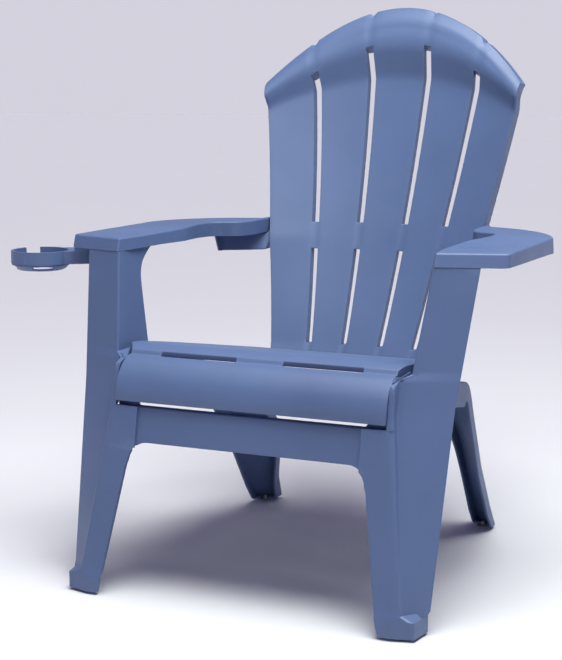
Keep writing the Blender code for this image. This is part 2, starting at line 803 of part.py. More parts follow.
def make_cup_holder():
    bm = prism(holder_outline(), HOLDER_TOP_Z - HOLDER_HEIGHT, HOLDER_TOP_Z)
    for v in bm.verts:
        v.co -= Vector((*PIVOT, HOLDER_TOP_Z))
    obj = add_object("cup_holder", bm, RESIN_BLUE)
    obj.location = (*PIVOT, HOLDER_TOP_Z)

    bearing = math.radians(CUP_BEARING)
    out = Vector((math.cos(bearing), math.sin(bearing)))
    aside = Vector((-out.y, out.x))
    near, far = 0.014, CUP_REACH - RING_OUTER - 0.006
    half = BAR_HALF - WALL
    corners = ((near, -half), (near, half), (far, half), (far, -half))
    plan = [tuple(Vector(PIVOT) + out * along + aside * across) for along, across in corners]
    pocket = prism(plan, HOLDER_TOP_Z - HOLDER_HEIGHT + WALL, HOLDER_TOP_Z + 0.005)
    bmesh.ops.recalc_face_normals(pocket, faces=pocket.faces)
    boolean(obj, helper("bar_pocket", pocket), "DIFFERENCE")

    bore = bmesh.new()
    low = HOLDER_TOP_Z - HOLDER_HEIGHT - 0.001
    turned(bore, ((0.0034, 0.0), (0.0034, HOLDER_HEIGHT + 0.002)), (*PIVOT, low), (0, 0, 1), 12)
    boolean(obj, helper("pivot_bore", bore), "DIFFERENCE")
    return obj


def make_cup_cradle():
    """A shallow basket with windows, hung under the ring."""
    sides = 24
    top = HOLDER_TOP_Z - HOLDER_HEIGHT - FIT
    profile = ((RING_OUTER - 0.001, top), (RING_OUTER - 0.0012, top - 0.002),
               (0.0415, top - 0.0090), (0.0380, top - 0.0105), (0.0240, top - 0.0108))
    rows = []
    for radius, z in profile:
        ring = []
        for i in range(sides):
            a = 2 * math.pi * i / sides
            ring.append((RING_CENTRE[0] + radius * math.cos(a),
                         RING_CENTRE[1] + radius * math.sin(a), z))
        rows.append(ring + ring[:1])

    def is_open(r, c):
        return r == 1 and c % 6 in (1, 2, 3)

    bm, _ = sheet(rows, is_open)
    bmesh.ops.remove_doubles(bm, verts=bm.verts, dist=0.00005)
    face_out(bm, (0, 0, -1))
    for v in bm.verts:
        v.co -= Vector((*RING_CENTRE, top))
    obj = add_object("cup_cradle", bm, RESIN_BLUE)
    obj.location = (*RING_CENTRE, top)
    thicken(obj, 0.003)
    return obj


# ---------------------------------------------------------------- glides and screws
GLIDE_PROFILE = ((0.0100, 0.0), (0.0110, 0.0010), (0.0110, 0.0036), (0.0035, 0.0036),
                 (0.0030, 0.0110))


def make_glide(name, x, y):
    bm = bmesh.new()
    turned(bm, GLIDE_PROFILE, (x, y, 0.0), (0, 0, 1), 12)
    bmesh.ops.recalc_face_normals(bm, faces=bm.faces)
    return add_object(name, bm, GLIDE_GREY, roughness=0.6)


def make_screw(name, head, axis, length, radius=SCREW_R):
    """A pan-head screw; head is the point under its head and axis is where it points."""
    out = -Vector(axis).normalized()
    profile = ((radius * 0.6, -length), (radius, -length + 0.002), (radius, 0.0), (HEAD_R, 0.0),
               (HEAD_R, HEAD_H * 0.6), (HEAD_R * 0.6, HEAD_H))
    bm = bmesh.new()
    turned(bm, profile, head, out)
    bmesh.ops.recalc_face_normals(bm, faces=bm.faces)
    return add_object(name, bm, STEEL, roughness=0.3, metallic=1.0)


def drill(bm, head, axis, length, radius=SCREW_R):
    """Adds the clearance hole of a screw to a mesh of cutters."""
    axis = Vector(axis).normalized()
    start = Vector(head) - axis * 0.0012
    profile = ((radius + 0.0004, 0.0), (radius + 0.0004, length + 0.0018))
    turned(bm, profile, start, axis)


def boss(bm, x, y, low, high, radius=0.0062):
    turned(bm, ((radius, 0.0), (radius, high - low)), (x, y, low), (0, 0, 1), 10)


# ---------------------------------------------------------------- the assembly
for old in list(bpy.data.objects):
    bpy.data.objects.remove(old, do_unlink=True)

frame_empty = bpy.data.objects.new("chair_frame", None)
bpy.context.scene.collection.objects.link(frame_empty)
frame_empty.location = (SYMMETRY_X, DEPTH_Y, 0.0)

pieces = {
    "back_panel": make_back_panel(),
    "seat_panel": make_seat_panel(),
    "front_apron": make_front_apron(),
    "back_rail": make_back_rail(),
    "rear_stretcher": make_rear_stretcher(),
    "cup_holder": make_cup_holder(),
    "cup_cradle": make_cup_cradle(),
}
for side, sign in (("left", 1), ("right", -1)):
    pieces[f"front_leg_{side}"] = make_front_leg(f"front_leg_{side}", sign < 0)
    pieces[f"rear_leg_{side}"] = make_rear_leg(f"rear_leg_{side}", sign < 0)
    pieces[f"armrest_{side}"] = make_armrest(f"armrest_{side}", sign < 0)
    make_glide(f"front_glide_{side}", sign * TOE_CENTRE[0], TOE_CENTRE[1])
    make_glide(f"rear_glide_{side}", sign * REAR_GLIDE[0], REAR_GLIDE[1])

bosses = {name: bmesh.new() for name in ("armrest_left", "armrest_right", "seat_panel")}
holes = {name: bmesh.new() for name in pieces}


def fasten(name, head, axis, length, through, radius=SCREW_R):
    """Puts in a screw and drills the pieces that it passes."""
    make_screw(name, head, axis, length, radius)
    for piece in through:
        drill(holes[piece], head, axis, length, radius)


UP = (0, 0, 1)
for side, sign in (("left", 1), ("right", -1)):
    arm, leg, rear = f"armrest_{side}", f"front_leg_{side}", f"rear_leg_{side}"
    inside = 0.0010

    x, y = sign * 0.2880, 0.1560
    boss(bosses[arm], x, y, TENON_TOP_Z + FIT, ARM_TOP - WALL + inside)
    fasten(f"arm_front_screw_{side}", (x, y, TENON_TOP_Z - WALL - FIT), UP, 0.014, (leg, arm))

    x = sign * 0.2560
    y = rail_point(x, 1.0, RAIL_DEPTH * 0.45)[1]
    boss(bosses[arm], x, y, RAIL_SHELF_Z + FIT, ARM_TOP - WALL + inside)
    fasten(f"arm_rear_screw_{side}", (x, y, RAIL_SHELF_Z - WALL - 2 * FIT), UP, 0.018,
           ("back_rail", arm))

    for place, y in (("front", 0.225), ("rear", 0.315)):
        x = sign * 0.2150
        shelf = stringer_top_z(y)
        boss(bosses["seat_panel"], x, y, shelf + 5 * FIT, seat_z(y) - WALL + inside)
        fasten(f"seat_{place}_screw_{side}", (x, y, shelf - WALL - 3 * FIT), UP, 0.018,
               (rear, "seat_panel"))

    for place, y in (("front", 0.142), ("rear", 0.170)):
        head = (sign * (0.2522 + FIT), y, 0.333)
        fasten(f"leg_{place}_bolt_{side}", head, (-sign, 0, 0), 0.010, (rear, leg))

    z = 0.268
    square_on = Vector((0.0, -1.0, APRON_LEAN)).normalized()
    for place, x in (("inner", 0.201), ("outer", 0.2150)):
        face = Vector((sign * x, leg_front_y(z) + APRON_BEHIND, z))
        fasten(f"apron_{place}_screw_{side}", face - square_on * (WALL + FIT), square_on, 0.0070,
               ("front_apron", leg))

    x, z = sign * 0.100, 0.522
    square_on = back_normal(x, z)
    face = Vector((x, back_y(x, z) + RAIL_STAND_OFF, z))
    fasten(f"rail_screw_{side}", face - square_on * (WALL + 2 * FIT), square_on, 0.0100,
           ("back_rail", "back_panel"))

    x, y, z = sign * (REAR_LEG_INNER_X + WALL + FIT), STRETCHER_Y + 0.015, 0.2975
    fasten(f"stretcher_screw_{side}", (x, y, z), (-sign, 0, 0), 0.010, (rear, "rear_stretcher"))

    x, z = sign * 0.125, 0.304
    square_on = back_normal(x, z)
    face = Vector((x, back_y(x, z), z))
    fasten(f"back_foot_screw_{side}", face - square_on * (WALL + 2 * FIT), square_on, 0.0120,
           ("back_panel", "seat_panel"))

boss(bosses["armrest_right"], *PIVOT, HOLDER_TOP_Z + FIT, ARM_TOP - WALL + 0.001, 0.008)
pivot_head = (*PIVOT, HOLDER_TOP_Z - HOLDER_HEIGHT - FIT)
fasten("cup_holder_pivot_screw", pivot_head, UP, 0.038, ("armrest_right",), 0.0030)

for name, bm in bosses.items():
    boolean(pieces[name], helper(f"{name}_bosses", bm), "UNION")
for name, bm in holes.items():
    if bm.verts:
        boolean(pieces[name], helper(f"{name}_holes", bm), "DIFFERENCE")
    else:
        bm.free()
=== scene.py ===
"""Adirondack chair: finely moulded pieces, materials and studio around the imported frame.

The chair faces -Y, +X is the sitter's left and +Z is up.  Lengths are metres.
Shapes are written about the chair's plane of symmetry, X = 0, with the front feet
near Y = 0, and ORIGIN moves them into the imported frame.
"""
import math

import bmesh
import bpy
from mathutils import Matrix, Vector


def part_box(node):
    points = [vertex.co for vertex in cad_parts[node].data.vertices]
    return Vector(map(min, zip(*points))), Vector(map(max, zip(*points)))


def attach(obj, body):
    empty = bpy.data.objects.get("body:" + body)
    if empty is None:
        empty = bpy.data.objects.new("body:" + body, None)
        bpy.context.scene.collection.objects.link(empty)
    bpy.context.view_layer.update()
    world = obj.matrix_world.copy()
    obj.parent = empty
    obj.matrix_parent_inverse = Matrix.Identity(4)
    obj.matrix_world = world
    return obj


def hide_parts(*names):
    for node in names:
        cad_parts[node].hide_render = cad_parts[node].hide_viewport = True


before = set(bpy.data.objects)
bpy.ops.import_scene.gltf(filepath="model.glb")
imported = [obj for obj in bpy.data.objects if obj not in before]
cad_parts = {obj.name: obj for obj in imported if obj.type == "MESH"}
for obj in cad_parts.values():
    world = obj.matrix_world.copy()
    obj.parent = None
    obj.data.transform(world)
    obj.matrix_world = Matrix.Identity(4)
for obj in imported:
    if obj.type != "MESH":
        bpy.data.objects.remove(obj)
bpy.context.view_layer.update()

# ---------------------------------------------------------------- driving dimensions
WALL = 0.004            # thickness of every moulded wall
FIT = 0.0004            # gap between two pieces that touch

ARM_TOP = 0.554
ARM_SKIRT = 0.0208      # depth of the wall around an armrest
ARM_REAR_SKIRT = 0.0264  # it is deeper over the back rail
ARM_OUTER_X = 0.3745    # half the width over the armrests
ARM_DRAFT = 0.002
ARM_FRONT_LEAN = 0.0058
ARM_FRONT_Y = 0.169     # the front end of an armrest lies ahead of this line

SEAT_CREST_Z = 0.387
SEAT_FALL = 0.185       # slope of the seat
SEAT_SKIRT = 0.029
SLAT_PITCH = 0.095
SLOT_INNER_X = 0.040    # the drain slots of the seat run between these
SLOT_OUTER_X = 0.172
SEAT_REAR_X = 0.195     # half the width of the seat at the back
ROLL_END_X = 0.2270
FRONT_GROOVE_Y = 0.084
GROOVE_HALF = 0.0045
GROOVE_DEEP = 0.0038

FAN_APEX_Z = -0.52      # the grooves of the back all point to this height at X = 0
GROOVES = (-0.1195, -0.0415, 0.0415, 0.1195)
BACK_BOTTOM_Z = 0.290
SLOT_BOTTOM_Z = 0.331
BAND_LOW_Z = 0.498      # the back's solid band lies between these heights
BAND_HIGH_Z = 0.546
SLOT_TOP_Z = 0.8797     # of the slots nearest the middle
CREASE_Z = 0.817        # lower edge of the headrest roll, on the middle line
BACK_TOP_Z = 0.945
FLANGE = 0.034          # depth of the wall around the back
SLOT_DEEP = 0.016       # depth of the walls of its slots
SLOT_TOP_DEEP = 0.026   # they are deeper where a slot ends in the headrest
SLOT_TOP_DROP = 0.010
RAIL_NOTCH_Z = (0.503, 0.541)  # the side walls are cut down here, to clear the back rail

APRON_LOW_Z = 0.243
APRON_HIGH_Z = 0.299
APRON_LEAN = 0.2
APRON_BEHIND = WALL + FIT + 0.0001
WEB_END_X = 0.2298      # the web above the apron reaches the legs
APRON_SLOT_X = (0.029, 0.193)  # both slots above the apron run between these
NUB_Z = 0.3722          # top of the wide lower part of a front leg
LEG_INNER_X = 0.2277    # inner edge of the leg's front, beside the seat's roll
LEDGE_Z = 0.358         # the lower part of a leg ends in a ledge that starts here
LEDGE_DEEP = 0.030
TOE_TOP_Z = 0.030       # top of the square toe under a front leg
POST_TOP_Z = 0.5312
POST_SEAM_Z = 0.5327    # the post ends just under the skirt of the armrest
TENON_TOP_Z = 0.5375    # the arm screws pass through the tenon that the CAD has here
TOE_CENTRE = (0.2680, 0.0060)

KNEE_Y = 0.372          # the rear leg turns down here
REAR_FOOT_Y = 0.597
REAR_GLIDE = (0.2195, 0.5895)
REAR_LEG_INNER_X = 0.195
STRINGER_START_Y = 0.126
STRINGER_JOINT_Y = 0.192
STRETCHER_Y = 0.304
FOOT_GAP = 0.004        # each foot stands this high on its glide

RAIL_END_X = 0.292
RAIL_SHELF_Z = ARM_TOP - ARM_REAR_SKIRT - 3 * FIT
RAIL_LOW_Z = 0.4948
RAIL_STAND_OFF = 0.0086
RAIL_STEP_X = (0.2075, 0.2103)
RAIL_DEPTH = 0.022
RAIL_END_FORWARD = 0.010  # its ends stand this much further forwards, under the arms

PIVOT = (-0.332, 0.243)  # axis of the cup holder, under the right armrest
CUP_REACH = 0.137
CUP_BEARING = 213        # degrees; the arm of the holder points out and a little forwards
RING_OUTER = 0.0505
RING_INNER = 0.0460
BAR_HALF = 0.033
HOLDER_TOP_Z = 0.5235
HOLDER_HEIGHT = 0.022
MUG_GAP = (125, 155)     # degrees of the ring that are open for a mug's handle
RING_CENTRE = (PIVOT[0] + CUP_REACH * math.cos(math.radians(CUP_BEARING)),
               PIVOT[1] + CUP_REACH * math.sin(math.radians(CUP_BEARING)))

HEAD_R = 0.0042
HEAD_H = 0.0026
SCREW_R = 0.0022

GLIDE_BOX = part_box("front_glide_left")
ORIGIN = Vector(((GLIDE_BOX[0].x + GLIDE_BOX[1].x) / 2 - TOE_CENTRE[0],
                 (GLIDE_BOX[0].y + GLIDE_BOX[1].y) / 2 - TOE_CENTRE[1], 0.0))


# ---------------------------------------------------------------- curves and numbers
def lerp(a, b, t):
    return a + (b - a) * t


def ramp(value, start, end):
    return min(1.0, max(0.0, (value - start) / (end - start)))


def curve_through(knots, x):
    """Smooth curve through (x, y) knots, with level ends."""
    for (xa, ya), (xb, yb) in zip(knots, knots[1:]):
        if x <= xb:
            t = max(0.0, (x - xa) / (xb - xa))
            return lerp(ya, yb, t * t * (3.0 - 2.0 * t))
    return knots[-1][1]


def bezier(points, count):
    """Points on a cubic Bezier curve, both ends included."""
    a, b, c, d = (Vector(p) for p in points)
    out = []
    for i in range(count + 1):
        t = i / count
        s = 1.0 - t
        out.append(a * s ** 3 + b * (3 * s * s * t) + c * (3 * s * t * t) + d * t ** 3)
    return [tuple(p) for p in out]


def arc(cx, cy, radius, start, end, count):
    """Points on an arc, angles in degrees, both ends included."""
    steps = (math.radians(lerp(start, end, i / count)) for i in range(count + 1))
    return [(cx + radius * math.cos(a), cy + radius * math.sin(a)) for a in steps]


def spline(points, parts, before=None, after=None):
    """Catmull-Rom curve through the points, each span in so many parts."""
    pts = [Vector(p) for p in points]
    head = Vector(before) if before else pts[0] * 2 - pts[1]
    tail = Vector(after) if after else pts[-1] * 2 - pts[-2]
    ctrl = [head] + pts + [tail]
    out = []
    for a, b, c, d in zip(ctrl, ctrl[1:], ctrl[2:], ctrl[3:]):
        for i in range(parts):
            t = i / parts
            out.append(tuple(0.5 * (2 * b + (c - a) * t + (2 * a - 5 * b + 4 * c - d) * t ** 2
                                    + (3 * b - a - 3 * c + d) * t ** 3)))
    return out + [tuple(pts[-1])]


def dense(values, step):
    """The values with more of them put in between, none further apart than the step."""
    out = [values[0]]
    for a, b in zip(values, values[1:]):
        parts = max(1, math.ceil(abs(b - a) / step))
        out += [lerp(a, b, (i + 1) / parts) for i in range(parts)]
    return out


# ---------------------------------------------------------------- mesh tools
def face_out(bm, direction):
    """Makes the normals agree and point, on the whole, along a direction."""
    bmesh.ops.recalc_face_normals(bm, faces=bm.faces)
    total = sum((f.normal * f.calc_area() for f in bm.faces), Vector())
    if total.dot(Vector(direction)) < 0.0:
        bmesh.ops.reverse_faces(bm, faces=bm.faces)


def sheet(rows, is_open=None):
    """Quads through rows of points; is_open(row, column) leaves a cell out."""
    bm = bmesh.new()
    grid = [[bm.verts.new(p) for p in row] for row in rows]
    for r in range(len(rows) - 1):
        for c in range(len(rows[r]) - 1):
            if is_open and is_open(r, c):
                continue
            bm.faces.new((grid[r][c], grid[r][c + 1], grid[r + 1][c + 1], grid[r + 1][c]))
    return bm, grid


def turn_edge(bm, loop, shift):
    """Adds a wall behind a closed loop of vertices; shift(vertex) is its depth."""
    rim = [bm.verts.new(v.co + Vector(shift(v))) for v in loop]
    for i, vertex in enumerate(loop):
        j = (i + 1) % len(loop)
        bm.faces.new((vertex, loop[j], rim[j], rim[i]))


def drop_loose(bm):
    bmesh.ops.delete(bm, geom=[v for v in bm.verts if not v.link_faces], context="VERTS")


def mirror_x(bm):
    for v in bm.verts:
        v.co.x = -v.co.x
    bmesh.ops.reverse_faces(bm, faces=bm.faces)


def prism(outline, low, high):
    """Solid between two heights over a plan outline that runs anticlockwise."""
    bm = bmesh.new()
    base = [bm.verts.new((x, y, low)) for x, y in outline]
    top = [bm.verts.new((x, y, high)) for x, y in outline]
    bm.faces.new(list(reversed(base)))
    bm.faces.new(top)
    for i in range(len(outline)):
        j = (i + 1) % len(outline)
        bm.faces.new((base[i], base[j], top[j], top[i]))
    return bm


def turned(bm, profile, place, axis, sides):
    """Adds a closed turned solid; profile is (radius, height) from tip to head."""
    turn = Vector((0, 0, 1)).rotation_difference(Vector(axis)).to_matrix()
    rings = []
    for radius, height in profile:
        ring = []
        for i in range(sides):
            a = 2 * math.pi * i / sides
            local = Vector((radius * math.cos(a), radius * math.sin(a), height))
            ring.append(bm.verts.new(turn @ local + Vector(place)))
        rings.append(ring)
    for low, high in zip(rings, rings[1:]):
        for i in range(sides):
            j = (i + 1) % sides
            bm.faces.new((low[i], low[j], high[j], high[i]))
    bm.faces.new(list(reversed(rings[0])))
    bm.faces.new(rings[-1])


def new_object(name, bm):
    for v in bm.verts:
        v.co += ORIGIN
    mesh = bpy.data.meshes.new(name)
    bm.to_mesh(mesh)
    bm.free()
    mesh.shade_smooth()
    obj = bpy.data.objects.new(name, mesh)
    bpy.context.scene.collection.objects.link(obj)
    return obj


def round_edges(obj, radius, segments, angle=26):
    bevel = obj.modifiers.new("round", "BEVEL")
    bevel.width = radius
    bevel.segments = segments
    bevel.limit_method = "ANGLE"
    bevel.angle_limit = math.radians(angle)
    bevel.harden_normals = False


def thicken(obj, wall):
    """Gives a sheet its wall, behind the side that its normals face."""
    solidify = obj.modifiers.new("wall", "SOLIDIFY")
    solidify.thickness = wall
    solidify.offset = -1.0
    solidify.use_even_offset = True
    solidify.use_quality_normals = True


def cut(obj, bm):
    """Cuts a helper solid out of a piece and throws the helper away."""
    bmesh.ops.recalc_face_normals(bm, faces=bm.faces)
    tool = new_object("cutter", bm)
    modifier = obj.modifiers.new("cut", "BOOLEAN")
    modifier.operation = "DIFFERENCE"
    modifier.object = tool
    bake(obj)
    bpy.data.objects.remove(tool, do_unlink=True)


def bake(obj):
    """Applies the piece's modifiers to its mesh."""
    graph = bpy.context.evaluated_depsgraph_get()
    mesh = bpy.data.meshes.new_from_object(obj.evaluated_get(graph))
    obj.modifiers.clear()
    obj.data = mesh


def piece(node, bm, fold=0.0, fold_angle=26, wall=WALL, rim=0.0010, material=None,
          body="chair"):
    """A finished piece that stands for a CAD node: folds, wall, rounded rims, material."""
    obj = new_object(f"{node}_finished", bm)
    if fold:
        round_edges(obj, fold, 4, fold_angle)
    if wall:
        thicken(obj, wall)
    if rim:
        round_edges(obj, rim, 2, 40)
    return dress(obj, node, material or RESIN, body)


def dress(obj, node, material, body):
    weighted = obj.modifiers.new("normals", "WEIGHTED_NORMAL")
    weighted.keep_sharp = True
    weighted.weight = 60
    obj.data.materials.clear()
    obj.data.materials.append(material)
    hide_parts(node)
    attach(obj, body)
    return obj


# ---------------------------------------------------------------- materials
class Nodes:
    """Short names for building a node tree."""

    def __init__(self, tree):
        self.tree = tree

    def add(self, kind, **inputs):
        node = self.tree.nodes.new(kind)
        for name, value in inputs.items():
            self.set(node, name.replace("_", " "), value)
        return node

    def set(self, node, name, value):
        if isinstance(value, bpy.types.NodeSocket):
            self.tree.links.new(value, node.inputs[name])
        else:
            node.inputs[name].default_value = value

    def noise(self, place, scale, detail=3.0, roughness=0.5):
        node = self.add("ShaderNodeTexNoise", Vector=place, Scale=scale, Detail=detail,
                        Roughness=roughness)
        return node.outputs["Fac"]

    def span(self, value, low, high, to_low, to_high):
        node = self.add("ShaderNodeMapRange", Value=value)
        for name, number in (("From Min", low), ("From Max", high), ("To Min", to_low),
                             ("To Max", to_high)):
            node.inputs[name].default_value = number
        return node.outputs["Result"]

    def times(self, a, b):
        node = self.tree.nodes.new("ShaderNodeMath")
        node.operation = "MULTIPLY"
        self.set(node, 0, a)
        self.set(node, 1, b)
        return node.outputs["Value"]

    def blend(self, share, a, b):
        node = self.tree.nodes.new("ShaderNodeMix")
        node.data_type = "RGBA"
        self.set(node, 0, share)
        self.set(node, 6, a)
        self.set(node, 7, b)
        return node.outputs[2]

    def bump(self, height, distance, strength, under=None):
        node = self.add("ShaderNodeBump", Height=height, Distance=distance, Strength=strength)
        if under is not None:
            self.set(node, "Normal", under)
        return node.outputs["Normal"]


def moulded(name, base, worn, rough, grain, metallic=0.0, specular=0.5):
    """A moulded or machined surface: clouded colour, rubbed edges, fine grain."""
    material = bpy.data.materials.new(name)
    material.use_nodes = True
    shader = material.node_tree.nodes["Principled BSDF"]
    n = Nodes(material.node_tree)
    place = n.add("ShaderNodeTexCoord").outputs["Object"]
    geometry = n.add("ShaderNodeNewGeometry")

    darker = (*(c * 0.91 for c in base), 1.0)
    lighter = (*(c * 1.07 for c in base), 1.0)
    clouds = n.span(n.noise(place, 5.0, 4.0), 0.32, 0.68, 0.0, 1.0)
    speckle = n.span(n.noise(place, 420.0, 2.0), 0.40, 0.66, 0.0, 0.35)
    colour = n.blend(clouds, darker, lighter)
    colour = n.blend(speckle, colour, lighter)
    edge = n.span(geometry.outputs["Pointiness"], 0.530, 0.640, 0.0, 1.0)
    patchy = n.span(n.noise(place, 38.0, 5.0, 0.6), 0.38, 0.64, 0.05, 0.30)
    colour = n.blend(n.times(edge, patchy), colour, (*worn, 1.0))
    n.set(shader, "Base Color", colour)

    smears = n.noise(place, 14.0, 5.0, 0.6)
    n.set(shader, "Roughness", n.span(smears, 0.30, 0.70, rough[0], rough[1]))
    waves = n.bump(n.noise(place, 9.0, 1.0), 0.0009, 0.35)
    n.set(shader, "Normal", n.bump(n.noise(place, grain, 2.0), 0.00012, 0.45, waves))
    shader.inputs["Metallic"].default_value = metallic
    shader.inputs["Specular IOR Level"].default_value = specular
    return material


RESIN = moulded("blue_resin", (0.088, 0.135, 0.262), (0.200, 0.270, 0.430), (0.42, 0.54), 1100.0)
NYLON = moulded("grey_nylon", (0.240, 0.250, 0.265), (0.420, 0.430, 0.440), (0.46, 0.62), 1500.0)
STEEL = moulded("plated_steel", (0.560, 0.560, 0.580), (0.780, 0.780, 0.790), (0.20, 0.38), 2200.0,
                metallic=1.0)


# ---------------------------------------------------------------- the back
def back_half_width(z):
    return 0.171 + 0.163 * (z - 0.322)


def back_top(x):
    return BACK_TOP_Z - 2.25 * x * x


def back_y(x, z):
    """Front surface of the back: leaning, dished between its sides, rolled at the top."""
    lean = 0.531 + 0.406 * (z - 0.33) + 0.336 * (z - 0.33) * (0.80 - z)
    sag = lerp(0.020, 0.052, ramp(z, 0.33, 0.52)) + 0.006 * ramp(z, 0.52, 0.80)
    y = lean - sag * (x / back_half_width(min(z, 0.80))) ** 2
    crease = CREASE_Z - x * x
    top = back_top(x)
    q = (z - crease) / (top - crease)
    if q > 0.0:
        height = 0.010 + 0.014 * (top - crease) / (BACK_TOP_Z - CREASE_Z)
        if q < 0.42:
            y -= height * 0.95 * q / 0.42
        else:
            y -= height * curve_through(((0.42, 0.95), (0.55, 1.0), (0.80, 0.80), (1.0, 0.10)), q)
    return y


def back_normal(x, z):
    """Direction that the front of the back faces at a point."""
    step = 0.001
    across = (back_y(x + step, z) - back_y(x - step, z)) / (2 * step)
    upward = (back_y(x, z + step) - back_y(x, z - step)) / (2 * step)
    return Vector((across, -1.0, upward)).normalized()


def on_row(target_x, centre_z, bow):
    """Point of a row that bows down to the sides, at the X that target_x(z) asks for."""
    z = centre_z
    for _ in range(12):
        x = target_x(z)
        z = centre_z - bow * x * x
    return x, z


def row_bow(z):
    if z <= BAND_HIGH_Z:
        return 0.0
    if z <= SLOT_TOP_Z:
        return 2.15 * (z - BAND_HIGH_Z) / (SLOT_TOP_Z - BAND_HIGH_Z)
    return lerp(2.15, 2.25, ramp(z, SLOT_TOP_Z, BACK_TOP_Z))


def slot_half(z):
    return lerp(0.0052, 0.0072, ramp(z, 0.33, 0.82))


def back_columns(segments):
    """Each column as (function giving X at a height, is the middle of a groove)."""
    def groove(slope, side):
        return lambda z: slope * (z - FAN_APEX_Z) + side * slot_half(z)

    edges = [lambda z: -back_half_width(z)]
    for slope in GROOVES:
        edges += [groove(slope, -1), groove(slope, 1)]
    edges.append(back_half_width)
    columns = []
    for slat in range(len(GROOVES) + 1):
        left, right = edges[2 * slat], edges[2 * slat + 1]
        for i in range(segments + 1):
            share = i / segments
            columns.append((lambda z, a=left, b=right, s=share: lerp(a(z), b(z), s), False))
        if slat < len(GROOVES):
            columns.append((groove(GROOVES[slat], 0), True))
    return columns


def make_back_panel():
    knots = [BACK_BOTTOM_Z, SLOT_BOTTOM_Z, BAND_LOW_Z, *RAIL_NOTCH_Z, BAND_HIGH_Z, 0.800,
             SLOT_TOP_Z, 0.937, BACK_TOP_Z]
    levels = dense(knots, 0.009)
    columns = back_columns(9)
    rows = []
    for centre_z in levels:
        row = []
        for target_x, is_groove in columns:
            x, z = on_row(target_x, centre_z, row_bow(centre_z))
            y = back_y(x, z)
            if is_groove:
                y += 0.0018
                z -= 0.005 if centre_z == BACK_TOP_Z else 0.0
            row.append((x, y, z))
        rows.append(row)
    middles = [c for c, column in enumerate(columns) if column[1]]
    slots = [(levels.index(SLOT_BOTTOM_Z), levels.index(BAND_LOW_Z)),
             (levels.index(BAND_HIGH_Z), levels.index(SLOT_TOP_Z))]

    def is_open(r, c):
        beside = c in middles or c + 1 in middles
        return beside and any(first <= r < last for first, last in slots)

    bm, grid = sheet(rows, is_open)
    for first, last in slots:
        for c in middles:
            left = [grid[r][c - 1] for r in range(first, last + 1)]
            right = [grid[r][c + 1] for r in range(last, first - 1, -1)]
            top_row = {grid[last][c - 1], grid[last][c], grid[last][c + 1]}
            deep_top = levels[last] == SLOT_TOP_Z

            def slot_wall(v, top_row=top_row, deep_top=deep_top):
                if deep_top and v in top_row:
                    return 0.0, SLOT_TOP_DEEP, -SLOT_TOP_DROP
                return 0.0, SLOT_DEEP, -0.001

            turn_edge(bm, left + [grid[last][c]] + right + [grid[first][c]], slot_wall)

    last_row = len(levels) - 1
    loop = [grid[r][0] for r in range(last_row)] + grid[last_row]
    loop += [grid[r][-1] for r in range(last_row - 1, -1, -1)] + grid[0][-2:0:-1]
    bottom = set(grid[0])
    notch_rows = [r for r, z in enumerate(levels) if RAIL_NOTCH_Z[0] <= z <= RAIL_NOTCH_Z[1]]
    notch = {grid[r][c] for r in notch_rows for c in (0, -1)}

    def outer_wall(v):
        if v in bottom:
            return 0.0, 0.012, -0.002
        if v in notch:
            return 0.0, 0.006, 0.0
        return 0.0, FLANGE, -0.004

    turn_edge(bm, loop, outer_wall)
    drop_loose(bm)
    face_out(bm, (0, -1, 0.2))
    return piece("back_panel", bm, fold=0.0026, fold_angle=66)


# ---------------------------------------------------------------- the seat
ROLL_PROFILE = ((0.0330, 0.3068), (0.0325, 0.3180), (0.0360, 0.3330), (0.0430, 0.3480),
                (0.0550, 0.3620), (0.0680, 0.3710))
SEAT_GROOVES = tuple(FRONT_GROOVE_Y + SLAT_PITCH * i for i in range(5))


def seat_z(y):
    """Height of the seat behind its front groove."""
    behind = max(0.0, y - 0.112)
    return SEAT_CREST_Z - SEAT_FALL * behind * behind / (behind + 0.030) \
        - 0.0095 * (max(0.0, 0.112 - y) / 0.028) ** 2


def seat_rows():
    """Profile points (y, z) with a tag for the middle line of a groove."""
    start = (FRONT_GROOVE_Y - GROOVE_HALF, seat_z(FRONT_GROOVE_Y - GROOVE_HALF))
    rows = [(y, z, False) for y, z in spline(ROLL_PROFILE, 3, after=start)]
    for i, groove in enumerate(SEAT_GROOVES):
        for side in (-1, 0, 1):
            y = groove + side * GROOVE_HALF
            rows.append((y, seat_z(y) - (GROOVE_DEEP if side == 0 else 0.0), side == 0))
        if i < len(SEAT_GROOVES) - 1:
            between = dense([groove + GROOVE_HALF, groove + SLAT_PITCH - GROOVE_HALF], 0.009)
            rows += [(y, seat_z(y), False) for y in between[1:-1]]
    return rows


def seat_half_width(y):
    if y < 0.090:
        return ROLL_END_X
    return lerp(lerp(ROLL_END_X, 0.2430, ramp(y, 0.090, 0.116)), SEAT_REAR_X, ramp(y, 0.190, 0.509))


def seat_rear_y(x):
    """The seat's rear edge follows the dished face of the back."""
    reach = min(abs(x), back_half_width(0.315))
    y = back_y(reach, 0.315)
    for _ in range(4):
        y = back_y(reach, seat_z(y)) - 0.0010
    return y


